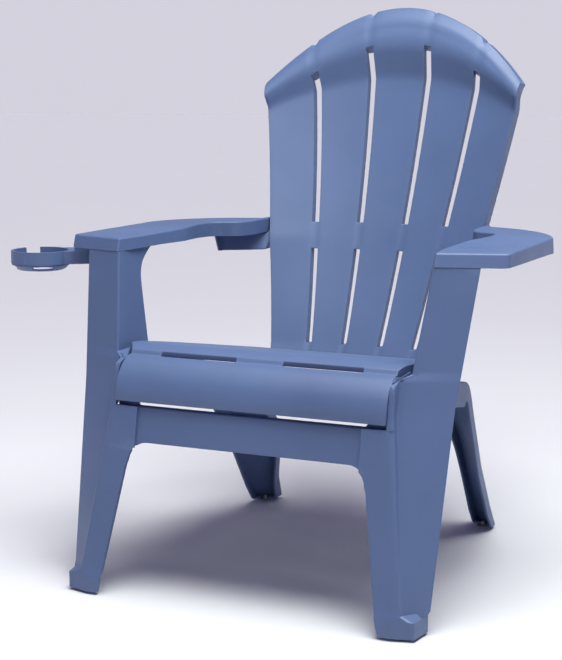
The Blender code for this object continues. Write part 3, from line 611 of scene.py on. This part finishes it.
def make_seat_panel():
    profile = seat_rows()
    keys = dense([0.0, SLOT_INNER_X], 0.020) + dense([SLOT_INNER_X, SLOT_OUTER_X], 0.016)[1:]
    rows = []
    for y, z, _ in profile:
        edge = dense([SLOT_OUTER_X, ROLL_END_X], 0.014)[1:]
        stretch = (seat_half_width(y) - SLOT_OUTER_X) / (ROLL_END_X - SLOT_OUTER_X)
        across = keys + [SLOT_OUTER_X + (x - SLOT_OUTER_X) * stretch for x in edge]
        xs = [-x for x in reversed(across[1:])] + across
        rows.append([(x, y, z) for x in xs])
    xs = [p[0] for p in rows[-1]]
    rows.append([(x, seat_rear_y(x), seat_z(seat_rear_y(x))) for x in xs])
    middle_rows = [r for r, row in enumerate(profile) if row[2]]

    def column_at(x):
        return min(range(len(xs)), key=lambda c: abs(xs[c] - x))

    spans = [(column_at(-SLOT_OUTER_X), column_at(-SLOT_INNER_X)),
             (column_at(SLOT_INNER_X), column_at(SLOT_OUTER_X))]

    def is_open(r, c):
        in_span = any(first <= c < last for first, last in spans)
        return in_span and (r in middle_rows or r + 1 in middle_rows)

    bm, grid = sheet(rows, is_open)
    for r in middle_rows:
        for first, last in spans:
            front = [grid[r - 1][c] for c in range(first, last + 1)]
            rear = [grid[r + 1][c] for c in range(last, first - 1, -1)]
            loop = front + [grid[r][last]] + rear + [grid[r][first]]
            turn_edge(bm, loop, lambda v: (0.0, 0.0, -0.008))

    last = len(rows) - 1
    loop = grid[0] + [grid[r][-1] for r in range(1, last)] + grid[last][::-1]
    loop += [grid[r][0] for r in range(last - 1, 0, -1)]
    front_lip = set(grid[0])
    rear_row = set(grid[last])

    def outer_wall(v):
        if v in front_lip:
            return 0.0, 0.010, 0.002
        if v in rear_row:
            return 0.0, -0.0150, -0.025
        if v.co.y < FRONT_GROOVE_Y - 2 * GROOVE_HALF:
            inward = ramp(v.co.z, 0.340, 0.372)
            return 0.0, 0.011 * (1.0 - inward), -0.010 * inward
        level = seat_z(v.co.y) - v.co.z
        return 0.0, 0.0, level + lerp(-0.012, -SEAT_SKIRT, ramp(v.co.y, 0.088, 0.115))

    turn_edge(bm, loop, outer_wall)
    drop_loose(bm)
    face_out(bm, (0, -0.3, 1))
    return piece("seat_panel", bm, fold=0.0020)


# ---------------------------------------------------------------- the front apron
def leg_front_y(z):
    """Front face of the front legs and, a wall behind it, of the apron."""
    return -0.0245 + APRON_LEAN * z


def make_front_apron():
    tab_x = 0.2235
    slot_inner, slot_outer = APRON_SLOT_X
    fillet = 0.030
    centre_x = 0.170
    half = [0.0] + dense([slot_inner, centre_x], 0.018) + dense([centre_x, slot_outer], 0.005)[1:]
    half += dense([slot_outer, tab_x], 0.007)[1:]
    xs = [-x for x in reversed(half[1:])] + half

    def low_z(x):
        past = min(fillet * 0.98, max(0.0, abs(x) - centre_x))
        return APRON_LOW_Z - fillet + math.sqrt(fillet ** 2 - past ** 2)

    def point(x, z, back=0.0):
        return x, leg_front_y(z) + APRON_BEHIND + back, z

    def reach(x):
        """The web above the apron is a little wider, up to the legs."""
        return math.copysign(WEB_END_X, x) if abs(x) == max(xs) else x

    levels = (0.0, 0.25, 0.5, 0.75, 1.0)
    rows = [[point(x, max(low_z(x), 0.237) + 0.001, 0.016) for x in xs]]
    for share in levels:
        rows.append([point(x, lerp(max(low_z(x), 0.237), APRON_HIGH_Z, share)) for x in xs])
    rows.append([point(reach(x), APRON_HIGH_Z + 0.0005, 0.009) for x in xs])
    rows.append([point(reach(x), 0.3175, 0.009) for x in xs])
    web_row = len(rows) - 2

    def is_open(r, c):
        left, right = abs(xs[c]), abs(xs[c + 1])
        inside_slot = max(left, right) <= slot_outer + FIT and min(left, right) >= slot_inner - FIT
        return r == web_row and inside_slot

    bm, _ = sheet(rows, is_open)
    drop_loose(bm)
    face_out(bm, (0, -1, 0))
    return piece("front_apron", bm, fold=0.0030)


# ---------------------------------------------------------------- the front legs
def outer_corner(z):
    """Rear outer corner of a front leg in plan."""
    x = 0.3013 + 0.042 * z + 0.055 * max(0.0, z - 0.33)
    return x, 0.0180 + 0.2200 * z + 0.03 * max(0.0, z - 0.33)


def lower_leg(z):
    """Plan of the lower leg: side wall, front flange, rounded corner, outer flange."""
    front = leg_front_y(z) + LEDGE_DEEP * ramp(z, LEDGE_Z, NUB_Z) ** 3
    if z < 0.2130:
        inner = 0.236 - 0.161 * z
    elif z < APRON_HIGH_Z + FIT:
        inner = 0.170 + math.sqrt(max(0.0, 0.030 ** 2 - min(z - 0.213, 0.0235) ** 2))
    else:
        inner = LEG_INNER_X
    if z < APRON_HIGH_Z + FIT:
        wall = [(inner + 0.0006, front + 0.009), (inner + 0.0003, front + 0.0075),
                (inner, front + 0.006)]
    else:
        wall = [(0.2437, 0.185), (0.2437, front + 0.045), (inner, front + 0.006)]
    bend_x = max(inner + 0.006, 0.262 - 0.13 * z)
    corner = (max(0.2765 - 0.115 * z, bend_x + 0.006), leg_front_y(z) + 0.008 + 0.04 * z)
    outer = outer_corner(z)
    pull = Vector((corner[0] - 0.004, front + 0.001))
    start, end = Vector((bend_x, front)), Vector(corner)
    rounding = [start.lerp(pull, 0.55).lerp(pull.lerp(end, 0.12), 0.3),
                start.lerp(pull, 0.9).lerp(pull.lerp(end, 0.45), 0.6)]
    middle = end.lerp(Vector(outer), 0.5)
    back = (outer[0] - 0.005, outer[1] + 0.016)
    plan = wall + [(inner, front), (bend_x, front)] + [tuple(p) for p in rounding]
    return plan + [corner, tuple(middle), outer, back]


def toe(z):
    """Plan of the square toe under a front leg."""
    inner = lerp(0.2370, 0.2320, z / TOE_TOP_Z)
    wall = [(inner + 0.0006, -0.0125), (inner + 0.0003, -0.0140), (inner, -0.0155)]
    front = [(inner, -0.0215), (0.2540, -0.0215), (0.268, -0.0185), (0.282, -0.0148)]
    side = [(0.2920, -0.0115), (0.2955, 0.010), (0.2985, 0.0290), (0.2900, 0.0430)]
    return wall + front + side


def post(z):
    """Plan of the arm post above the seat."""
    face_x = 0.2514 + 0.115 * (z - 0.40)
    front = 0.0875 + 0.25 * (z - 0.40)
    rear = 0.1815 + 0.0460 * ramp(z, 0.455, POST_TOP_Z) ** 4
    wall = [(face_x, lerp(rear, front, t)) for t in (0.0, 0.3, 0.6)]
    outer = outer_corner(z)
    flange = (Vector(outer) - Vector((face_x, front))).normalized()
    corner = Vector((face_x, front)) + flange * 0.014
    bend = Vector((face_x, front + 0.014))
    tip = Vector((face_x, front))
    rounding = [bend.lerp(tip, 0.6).lerp(tip.lerp(corner, 0.1), 0.35),
                bend.lerp(tip, 0.9).lerp(tip.lerp(corner, 0.4), 0.65)]
    middle = corner.lerp(Vector(outer), 0.5)
    back = (outer[0] - 0.005, outer[1] + 0.016)
    plan = wall + [(face_x, front + 0.024), tuple(bend)] + [tuple(p) for p in rounding]
    return plan + [tuple(corner), tuple(middle), outer, back]


def folded(plan, centre, share):
    """A plan drawn in towards a centre, for the flange that closes an end."""
    return [(lerp(x, centre[0], share), lerp(y, centre[1], share)) for x, y in plan]


def smooth_plan(plan):
    """The plan with its rounded corner, points 4 to 7, drawn as a fine curve."""
    return plan[:4] + spline(plan[4:8], 4, before=plan[3], after=plan[8]) + plan[8:]


def make_front_leg(side):
    lip_end = 0.230
    shelf = APRON_HIGH_Z + 2 * FIT
    levels = [(FOOT_GAP, folded(toe(0), TOE_CENTRE, 0.62)), (FOOT_GAP, toe(0)),
              (0.017, toe(0.017)), (TOE_TOP_Z, toe(TOE_TOP_Z))]
    for z in dense([0.037, lip_end, 0.236, APRON_HIGH_Z], 0.008):
        levels.append((z, lower_leg(z)))
    for z in dense([shelf, 0.352], 0.008):
        levels.append((z, lower_leg(z)))
    levels += [(z, lower_leg(z)) for z in (0.358, 0.364, 0.3695)]
    levels += [(z, post(z)) for z in dense([0.3765, 0.41, 0.45, 0.485, 0.510, POST_TOP_Z], 0.008)]
    levels[-1] = (POST_SEAM_Z, post(POST_TOP_Z))
    heights = [z for z, _ in levels]
    rows = [[(x, y, z) for x, y in smooth_plan(plan)] for z, plan in levels]

    def is_open(r, c):
        return c < 3 and heights[r] >= lip_end - FIT and heights[r + 1] <= shelf + FIT

    bm, _ = sheet(rows, is_open)
    drop_loose(bm)
    face_out(bm, (0, -1, 0))
    if side == "right":
        mirror_x(bm)
    return piece(f"front_leg_{side}", bm, fold=0.0024, fold_angle=40)


# ---------------------------------------------------------------- the rear legs
def stringer_top_z(y):
    return seat_z(y) - SEAT_SKIRT - 3 * FIT


def rear_leg_path():
    """Points (y, z) down the top and rear of a rear leg, from the seat to the floor."""
    starts = dense([STRINGER_START_Y, STRINGER_JOINT_Y, 0.26, 0.335], 0.014)
    path = [(y, stringer_top_z(y)) for y in starts]
    path += bezier(((0.352, stringer_top_z(0.352)), (0.385, stringer_top_z(0.380)),
                    (0.398, 0.283), (0.418, 0.252)), 10)
    for z in dense([0.252, 0.200, 0.150, 0.100, 0.050], 0.014)[1:]:
        path.append((lerp(0.418, REAR_FOOT_Y, (0.252 - z) / 0.252), z))
    return path


def make_rear_leg(side):
    path = rear_leg_path()
    rows = []
    for i, (y, z) in enumerate(path):
        before = path[max(0, i - 1)]
        after = path[min(len(path) - 1, i + 1)]
        along = Vector((after[0] - before[0], after[1] - before[1])).normalized()
        into = Vector((along.y, -along.x))
        drop = ramp(-along.y, 0.3, 0.8)
        outer_x = lerp(0.2522, 0.2405, ramp(y, KNEE_Y, 0.500))
        inner_x = curve_through(((0.0, 0.198), (0.180, 0.178), (0.312, REAR_LEG_INNER_X)), z)
        twist = curve_through(((0.0, 0.027), (0.170, 0.085), (0.312, 0.0)), z)
        outer = Vector((y, z)) + into * lerp(0.042, 0.022, drop)
        inner = Vector((y, z)) + into * lerp(0.040, 0.028, drop)
        face = [(lerp(outer_x, inner_x, t), y + twist * t, z) for t in (0.0, 0.25, 0.5, 0.75, 1.0)]
        rows.append([(outer_x, outer.x, outer.y)] + face + [(inner_x, inner.x + twist, inner.y)])
    foot = [(0.2415, REAR_FOOT_Y - 0.024)]
    foot += [(lerp(0.2415, 0.198, t), REAR_FOOT_Y + 0.027 * t) for t in (0, 0.25, 0.5, 0.75, 1.0)]
    foot.append((0.198, REAR_FOOT_Y - 0.003))
    rows.append([(x, y, FOOT_GAP) for x, y in foot])
    rows.append([(x, y, FOOT_GAP) for x, y in folded(foot, REAR_GLIDE, 0.62)])

    def is_open(r, c):
        return path[min(r, len(path) - 1)][0] < STRINGER_JOINT_Y - FIT and c >= 1

    bm, _ = sheet(rows, is_open)
    drop_loose(bm)
    face_out(bm, (0, 1, 0.8))
    if side == "right":
        mirror_x(bm)
    return piece(f"rear_leg_{side}", bm, fold=0.0035)


def make_rear_stretcher():
    half = REAR_LEG_INNER_X - FIT - 0.0002
    low_z, high_z = 0.286, 0.311
    rear_y = STRETCHER_Y + 0.026
    section = ((rear_y, low_z), (STRETCHER_Y, low_z), (STRETCHER_Y, high_z),
               (rear_y, high_z - 0.003))
    xs = dense([-half, -half + 0.022, 0.0, half - 0.022, half], 0.030)
    bm, grid = sheet([[(x, y, z) for x in xs] for y, z in section])
    for side in (0, -1):
        bm.faces.new([grid[r][side] for r in range(4)])
    face_out(bm, (0, -1, 0))
    return piece("rear_stretcher", bm, fold=0.0025)


# ---------------------------------------------------------------- armrests and back rail
def arm_outline():
    """Plan of the left armrest's top, anticlockwise from its inner front corner."""
    front = [(0.2685, 0.1255)] + arc(0.3645, 0.1655, 0.010, -75, 0, 8)
    outer = bezier(((ARM_OUTER_X, 0.420), (0.362, 0.480), (0.318, 0.548), (0.2260, 0.5725)), 22)
    tab = [(0.2185, 0.5750), (0.2185, 0.6000), (0.2110, 0.6000)]
    corner = bezier(((0.2110, 0.555), (0.2110, 0.478), (0.225, 0.478), (0.2500, 0.468)), 12)
    recess = bezier(((0.2500, 0.468), (0.278, 0.458), (0.274, 0.410), (0.2600, 0.335)), 14)
    return front + outer + tab + corner + recess[1:] + [(0.2592, 0.250), (0.2620, 0.170)]


def make_armrest(side):
    bm = bmesh.new()
    top = [bm.verts.new((x, y, ARM_TOP)) for x, y in arm_outline()]
    bm.faces.new(top)
    middle = Vector((0.315, 0.33, 0.0))
    panel_side = 0.2115

    def skirt(v):
        deep = lerp(ARM_SKIRT, ARM_REAR_SKIRT, ramp(v.co.y, 0.25, 0.45))
        if v.co.x < panel_side:
            return 0.0, 0.0, -deep
        away = (Vector((v.co.x, v.co.y, 0.0)) - middle).normalized() * ARM_DRAFT
        if v.co.y < ARM_FRONT_Y:
            away.y = -ARM_FRONT_LEAN
        return away.x, away.y, -deep

    turn_edge(bm, top, skirt)
    face_out(bm, (0, 0, 1))
    if side == "right":
        mirror_x(bm)
    return piece(f"armrest_{side}", bm, fold=0.0032)


def rail_point(x, level, back):
    """A point of the back rail; level 0 is its lower edge and 1 its upper edge."""
    outside = ramp(abs(x), RAIL_STEP_X[0], RAIL_STEP_X[1])
    low = lerp(0.5048, RAIL_LOW_Z, outside)
    high = lerp(0.5390, RAIL_SHELF_Z, outside)
    z = lerp(low, high, level)
    y = back_y(x, z) + RAIL_STAND_OFF - RAIL_END_FORWARD * ramp(abs(x), RAIL_STEP_X[1], 0.235)
    x *= lerp(1.0, 1.0 - 0.05 * (1.0 - level), ramp(abs(x), 0.275, RAIL_END_X))
    return x, y + back, z


def make_back_rail():
    half = dense([0.0, RAIL_STEP_X[0]], 0.016) + dense([RAIL_STEP_X[1], 0.275, RAIL_END_X], 0.016)
    xs = [-x for x in reversed(half[1:])] + half
    corners = ((0.0, RAIL_DEPTH), (0.0, 0.0), (1.0, 0.0), (1.0, RAIL_DEPTH))
    bm, _ = sheet([[rail_point(x, level, back) for x in xs] for level, back in corners])
    face_out(bm, (0, -1, 0))
    return piece("back_rail", bm, fold=0.0025)


# ---------------------------------------------------------------- the cup holder
def holder_outline():
    """Plan of the C-shaped ring with its bar and the round end at the pivot."""
    spread = math.degrees(math.asin(BAR_HALF / RING_OUTER))
    inward = CUP_BEARING - 180
    ring = arc(*RING_CENTRE, RING_OUTER, MUG_GAP[1], inward - spread + 360, 48)
    end = arc(*PIVOT, BAR_HALF, inward - 90, inward + 90, 24)
    rest = arc(*RING_CENTRE, RING_OUTER, inward + spread, MUG_GAP[0], 12)
    bore = arc(*RING_CENTRE, RING_INNER, MUG_GAP[0], MUG_GAP[1] - 360, 72)
    return ring + end + rest + bore


def make_cup_holder():
    low = HOLDER_TOP_Z - HOLDER_HEIGHT
    obj = new_object("cup_holder_finished", prism(holder_outline(), low, HOLDER_TOP_Z))
    bearing = math.radians(CUP_BEARING)
    out = Vector((math.cos(bearing), math.sin(bearing)))
    aside = Vector((-out.y, out.x))
    near, far = 0.014, CUP_REACH - RING_OUTER - 0.006
    half = BAR_HALF - WALL
    corners = ((near, -half), (near, half), (far, half), (far, -half))
    plan = [tuple(Vector(PIVOT) + out * along + aside * across) for along, across in corners]
    cut(obj, prism(plan, low + WALL, HOLDER_TOP_Z + 0.005))
    bore = bmesh.new()
    turned(bore, ((0.0034, 0.0), (0.0034, HOLDER_HEIGHT + 0.002)), (*PIVOT, low - 0.001),
           (0, 0, 1), 32)
    cut(obj, bore)
    obj.data.shade_smooth()
    round_edges(obj, 0.0011, 3, 34)
    return dress(obj, "cup_holder", RESIN, "holder")


def make_cup_cradle():
    """A shallow basket with windows, hung under the ring."""
    sides = 96
    top = HOLDER_TOP_Z - HOLDER_HEIGHT - FIT
    profile = ((RING_OUTER - 0.001, top), (RING_OUTER - 0.0012, top - 0.002),
               (0.0452, top - 0.0058), (0.0415, top - 0.0090), (0.0380, top - 0.0105),
               (0.0310, top - 0.0108), (0.0240, top - 0.0108))
    rows = []
    for radius, z in profile:
        ring = arc(*RING_CENTRE, radius, 0, 360, sides)
        rows.append([(x, y, z) for x, y in ring])

    def is_open(r, c):
        return r in (1, 2) and 4 <= c % 24 < 16

    bm, _ = sheet(rows, is_open)
    bmesh.ops.remove_doubles(bm, verts=bm.verts, dist=0.00005)
    drop_loose(bm)
    face_out(bm, (0, 0, -1))
    return piece("cup_cradle", bm, wall=0.003, rim=0.0007, body="holder")


# ---------------------------------------------------------------- glides and screws
def make_glide(node, x, y):
    profile = ((0.0090, 0.0), (0.0100, 0.0003), (0.0107, 0.0009), (0.0110, 0.0018),
               (0.0110, 0.0034), (0.0106, 0.0036), (0.0035, 0.0036), (0.0030, 0.0110))
    bm = bmesh.new()
    turned(bm, profile, (x, y, 0.0), (0, 0, 1), 48)
    bmesh.ops.recalc_face_normals(bm, faces=bm.faces)
    return piece(node, bm, wall=0.0, rim=0.0003, material=NYLON)


def make_screw(node, head, axis, length, radius=SCREW_R, body="chair"):
    """A pan-head screw with a cross recess; head is the point under its head."""
    out = -Vector(axis).normalized()
    shank = [(radius * 0.6, -length), (radius, -length + 0.002), (radius, -0.0002)]
    crown = [(HEAD_R, 0.0), (HEAD_R, HEAD_H * 0.45), (HEAD_R * 0.93, HEAD_H * 0.70),
             (HEAD_R * 0.76, HEAD_H * 0.90), (HEAD_R * 0.55, HEAD_H)]
    bm = bmesh.new()
    turned(bm, shank + [(radius, 0.0)] + crown, head, out, 32)
    bmesh.ops.recalc_face_normals(bm, faces=bm.faces)
    obj = new_object(f"{node}_finished", bm)
    aside = out.orthogonal().normalized()
    across = out.cross(aside)
    for long_way, short_way in ((aside, across), (across, aside)):
        cut(obj, recess(Vector(head), out, long_way, short_way))
    obj.data.shade_smooth()
    round_edges(obj, 0.0002, 2, 35)
    return dress(obj, node, STEEL, body)


def recess(head, out, long_way, short_way):
    """One arm of the cross in a screw head, tapering inwards."""
    bm = bmesh.new()
    rings = []
    for height, half_long, half_short in ((HEAD_H * 0.35, 0.0009, 0.0003),
                                          (HEAD_H * 1.10, 0.0021, 0.0005)):
        signs = ((-1, -1), (1, -1), (1, 1), (-1, 1))
        rings.append([bm.verts.new(head + out * height + long_way * (half_long * a)
                                   + short_way * (half_short * b)) for a, b in signs])
    for i in range(4):
        j = (i + 1) % 4
        bm.faces.new((rings[0][i], rings[0][j], rings[1][j], rings[1][i]))
    bm.faces.new(rings[0][::-1])
    bm.faces.new(rings[1])
    return bm


# ---------------------------------------------------------------- the assembly
make_back_panel()
make_seat_panel()
make_front_apron()
make_back_rail()
make_rear_stretcher()
make_cup_holder()
make_cup_cradle()

UP = (0, 0, 1)
for side, sign in (("left", 1), ("right", -1)):
    make_front_leg(side)
    make_rear_leg(side)
    make_armrest(side)
    make_glide(f"front_glide_{side}", sign * TOE_CENTRE[0], TOE_CENTRE[1])
    make_glide(f"rear_glide_{side}", sign * REAR_GLIDE[0], REAR_GLIDE[1])

    make_screw(f"arm_front_screw_{side}", (sign * 0.2880, 0.1560, TENON_TOP_Z - WALL - FIT),
               UP, 0.014)
    x = sign * 0.2560
    y = rail_point(x, 1.0, RAIL_DEPTH * 0.45)[1]
    make_screw(f"arm_rear_screw_{side}", (x, y, RAIL_SHELF_Z - WALL - 2 * FIT), UP, 0.018)
    for place, y in (("front", 0.225), ("rear", 0.315)):
        under = stringer_top_z(y) - WALL - 3 * FIT
        make_screw(f"seat_{place}_screw_{side}", (sign * 0.2150, y, under), UP, 0.018)
    for place, y in (("front", 0.142), ("rear", 0.170)):
        make_screw(f"leg_{place}_bolt_{side}", (sign * (0.2522 + FIT), y, 0.333),
                   (-sign, 0, 0), 0.010)

    z = 0.268
    square_on = Vector((0.0, -1.0, APRON_LEAN)).normalized()
    for place, x in (("inner", 0.201), ("outer", 0.2150)):
        face = Vector((sign * x, leg_front_y(z) + APRON_BEHIND, z))
        make_screw(f"apron_{place}_screw_{side}", face - square_on * (WALL + FIT), square_on,
                   0.0070)

    x, z = sign * 0.100, 0.522
    square_on = back_normal(x, z)
    face = Vector((x, back_y(x, z) + RAIL_STAND_OFF, z))
    make_screw(f"rail_screw_{side}", face - square_on * (WALL + 2 * FIT), square_on, 0.0100)
    make_screw(f"stretcher_screw_{side}",
               (sign * (REAR_LEG_INNER_X + WALL + FIT), STRETCHER_Y + 0.015, 0.2975),
               (-sign, 0, 0), 0.010)

    x, z = sign * 0.125, 0.304
    square_on = back_normal(x, z)
    face = Vector((x, back_y(x, z), z))
    make_screw(f"back_foot_screw_{side}", face - square_on * (WALL + 2 * FIT), square_on, 0.0120)

make_screw("cup_holder_pivot_screw", (*PIVOT, HOLDER_TOP_Z - HOLDER_HEIGHT - FIT), UP, 0.038,
           0.0030)


# ---------------------------------------------------------------- the studio
def make_floor():
    size = 40.0
    bm = bmesh.new()
    corners = ((-size, -size), (size, -size), (size, size), (-size, size))
    bm.faces.new([bm.verts.new((x, y, 0.0)) for x, y in corners])
    floor = new_object("floor", bm)
    material = bpy.data.materials.new("pale_floor")
    material.use_nodes = True
    shader = material.node_tree.nodes["Principled BSDF"]
    n = Nodes(material.node_tree)
    place = n.add("ShaderNodeTexCoord").outputs["Object"]
    cloud = n.noise(place, 0.8, 3.0)
    n.set(shader, "Base Color", n.blend(cloud, (0.74, 0.74, 0.74, 1), (0.76, 0.76, 0.76, 1)))
    shader.inputs["Roughness"].default_value = 0.9
    shader.inputs["Specular IOR Level"].default_value = 0.1
    floor.data.materials.append(material)


HORIZON = (0.655, 0.641, 0.723, 1.0)


def make_world():
    """Dim overhead, and as pale as the far floor along the horizon."""
    world = bpy.data.worlds.new("studio")
    bpy.context.scene.world = world
    world.use_nodes = True
    n = Nodes(world.node_tree)
    place = n.add("ShaderNodeTexCoord").outputs["Generated"]
    split = n.add("ShaderNodeSeparateXYZ", Vector=place)
    share = n.span(split.outputs["Z"], 0.105, 0.17, 0.0, 1.0)
    background = world.node_tree.nodes["Background"]
    n.set(background, "Color", n.blend(share, HORIZON, (0.16, 0.14, 0.25, 1.0)))
    background.inputs["Strength"].default_value = 1.0


def aim(obj, direction):
    obj.rotation_mode = "QUATERNION"
    obj.rotation_quaternion = Vector(direction).to_track_quat("-Z", "Y")


def add_light(name, kind, energy, colour, place, direction):
    light = bpy.data.lights.new(name, kind)
    light.energy = energy
    light.color = colour
    obj = bpy.data.objects.new(name, light)
    bpy.context.scene.collection.objects.link(obj)
    obj.location = Vector(place) + ORIGIN
    aim(obj, direction)
    return light


def make_lights():
    """A soft sun from straight above, and a softbox over the seat, on the sitter's left."""
    sun = add_light("overhead", "SUN", 2.3, (1.0, 1.0, 1.0), (0, 0, 3), (-0.10, 0.08, -1.0))
    sun.angle = math.radians(40)
    box = add_light("softbox", "AREA", 28.0, (0.92, 1.0, 0.98), (0.45, 0.02, 1.95),
                    (-0.28, 0.22, -1.0))
    box.shape = "RECTANGLE"
    box.size = 1.3
    box.size_y = 0.9


def make_camera():
    azimuth, elevation = math.radians(23.89), math.radians(9.25)
    data = bpy.data.cameras.new("camera")
    data.sensor_width = 36.0
    data.lens = 80.73
    camera = bpy.data.objects.new("camera", data)
    bpy.context.scene.collection.objects.link(camera)
    camera.location = Vector((0.9435, -1.9613, 0.7937)) + ORIGIN
    forward = Vector((-math.sin(azimuth) * math.cos(elevation),
                      math.cos(azimuth) * math.cos(elevation), -math.sin(elevation)))
    camera.rotation_mode = "QUATERNION"
    camera.rotation_quaternion = forward.to_track_quat("-Z", "Y")
    bpy.context.scene.camera = camera


make_floor()
make_world()
make_lights()
make_camera()
bpy.context.scene.view_settings.view_transform = "Standard"
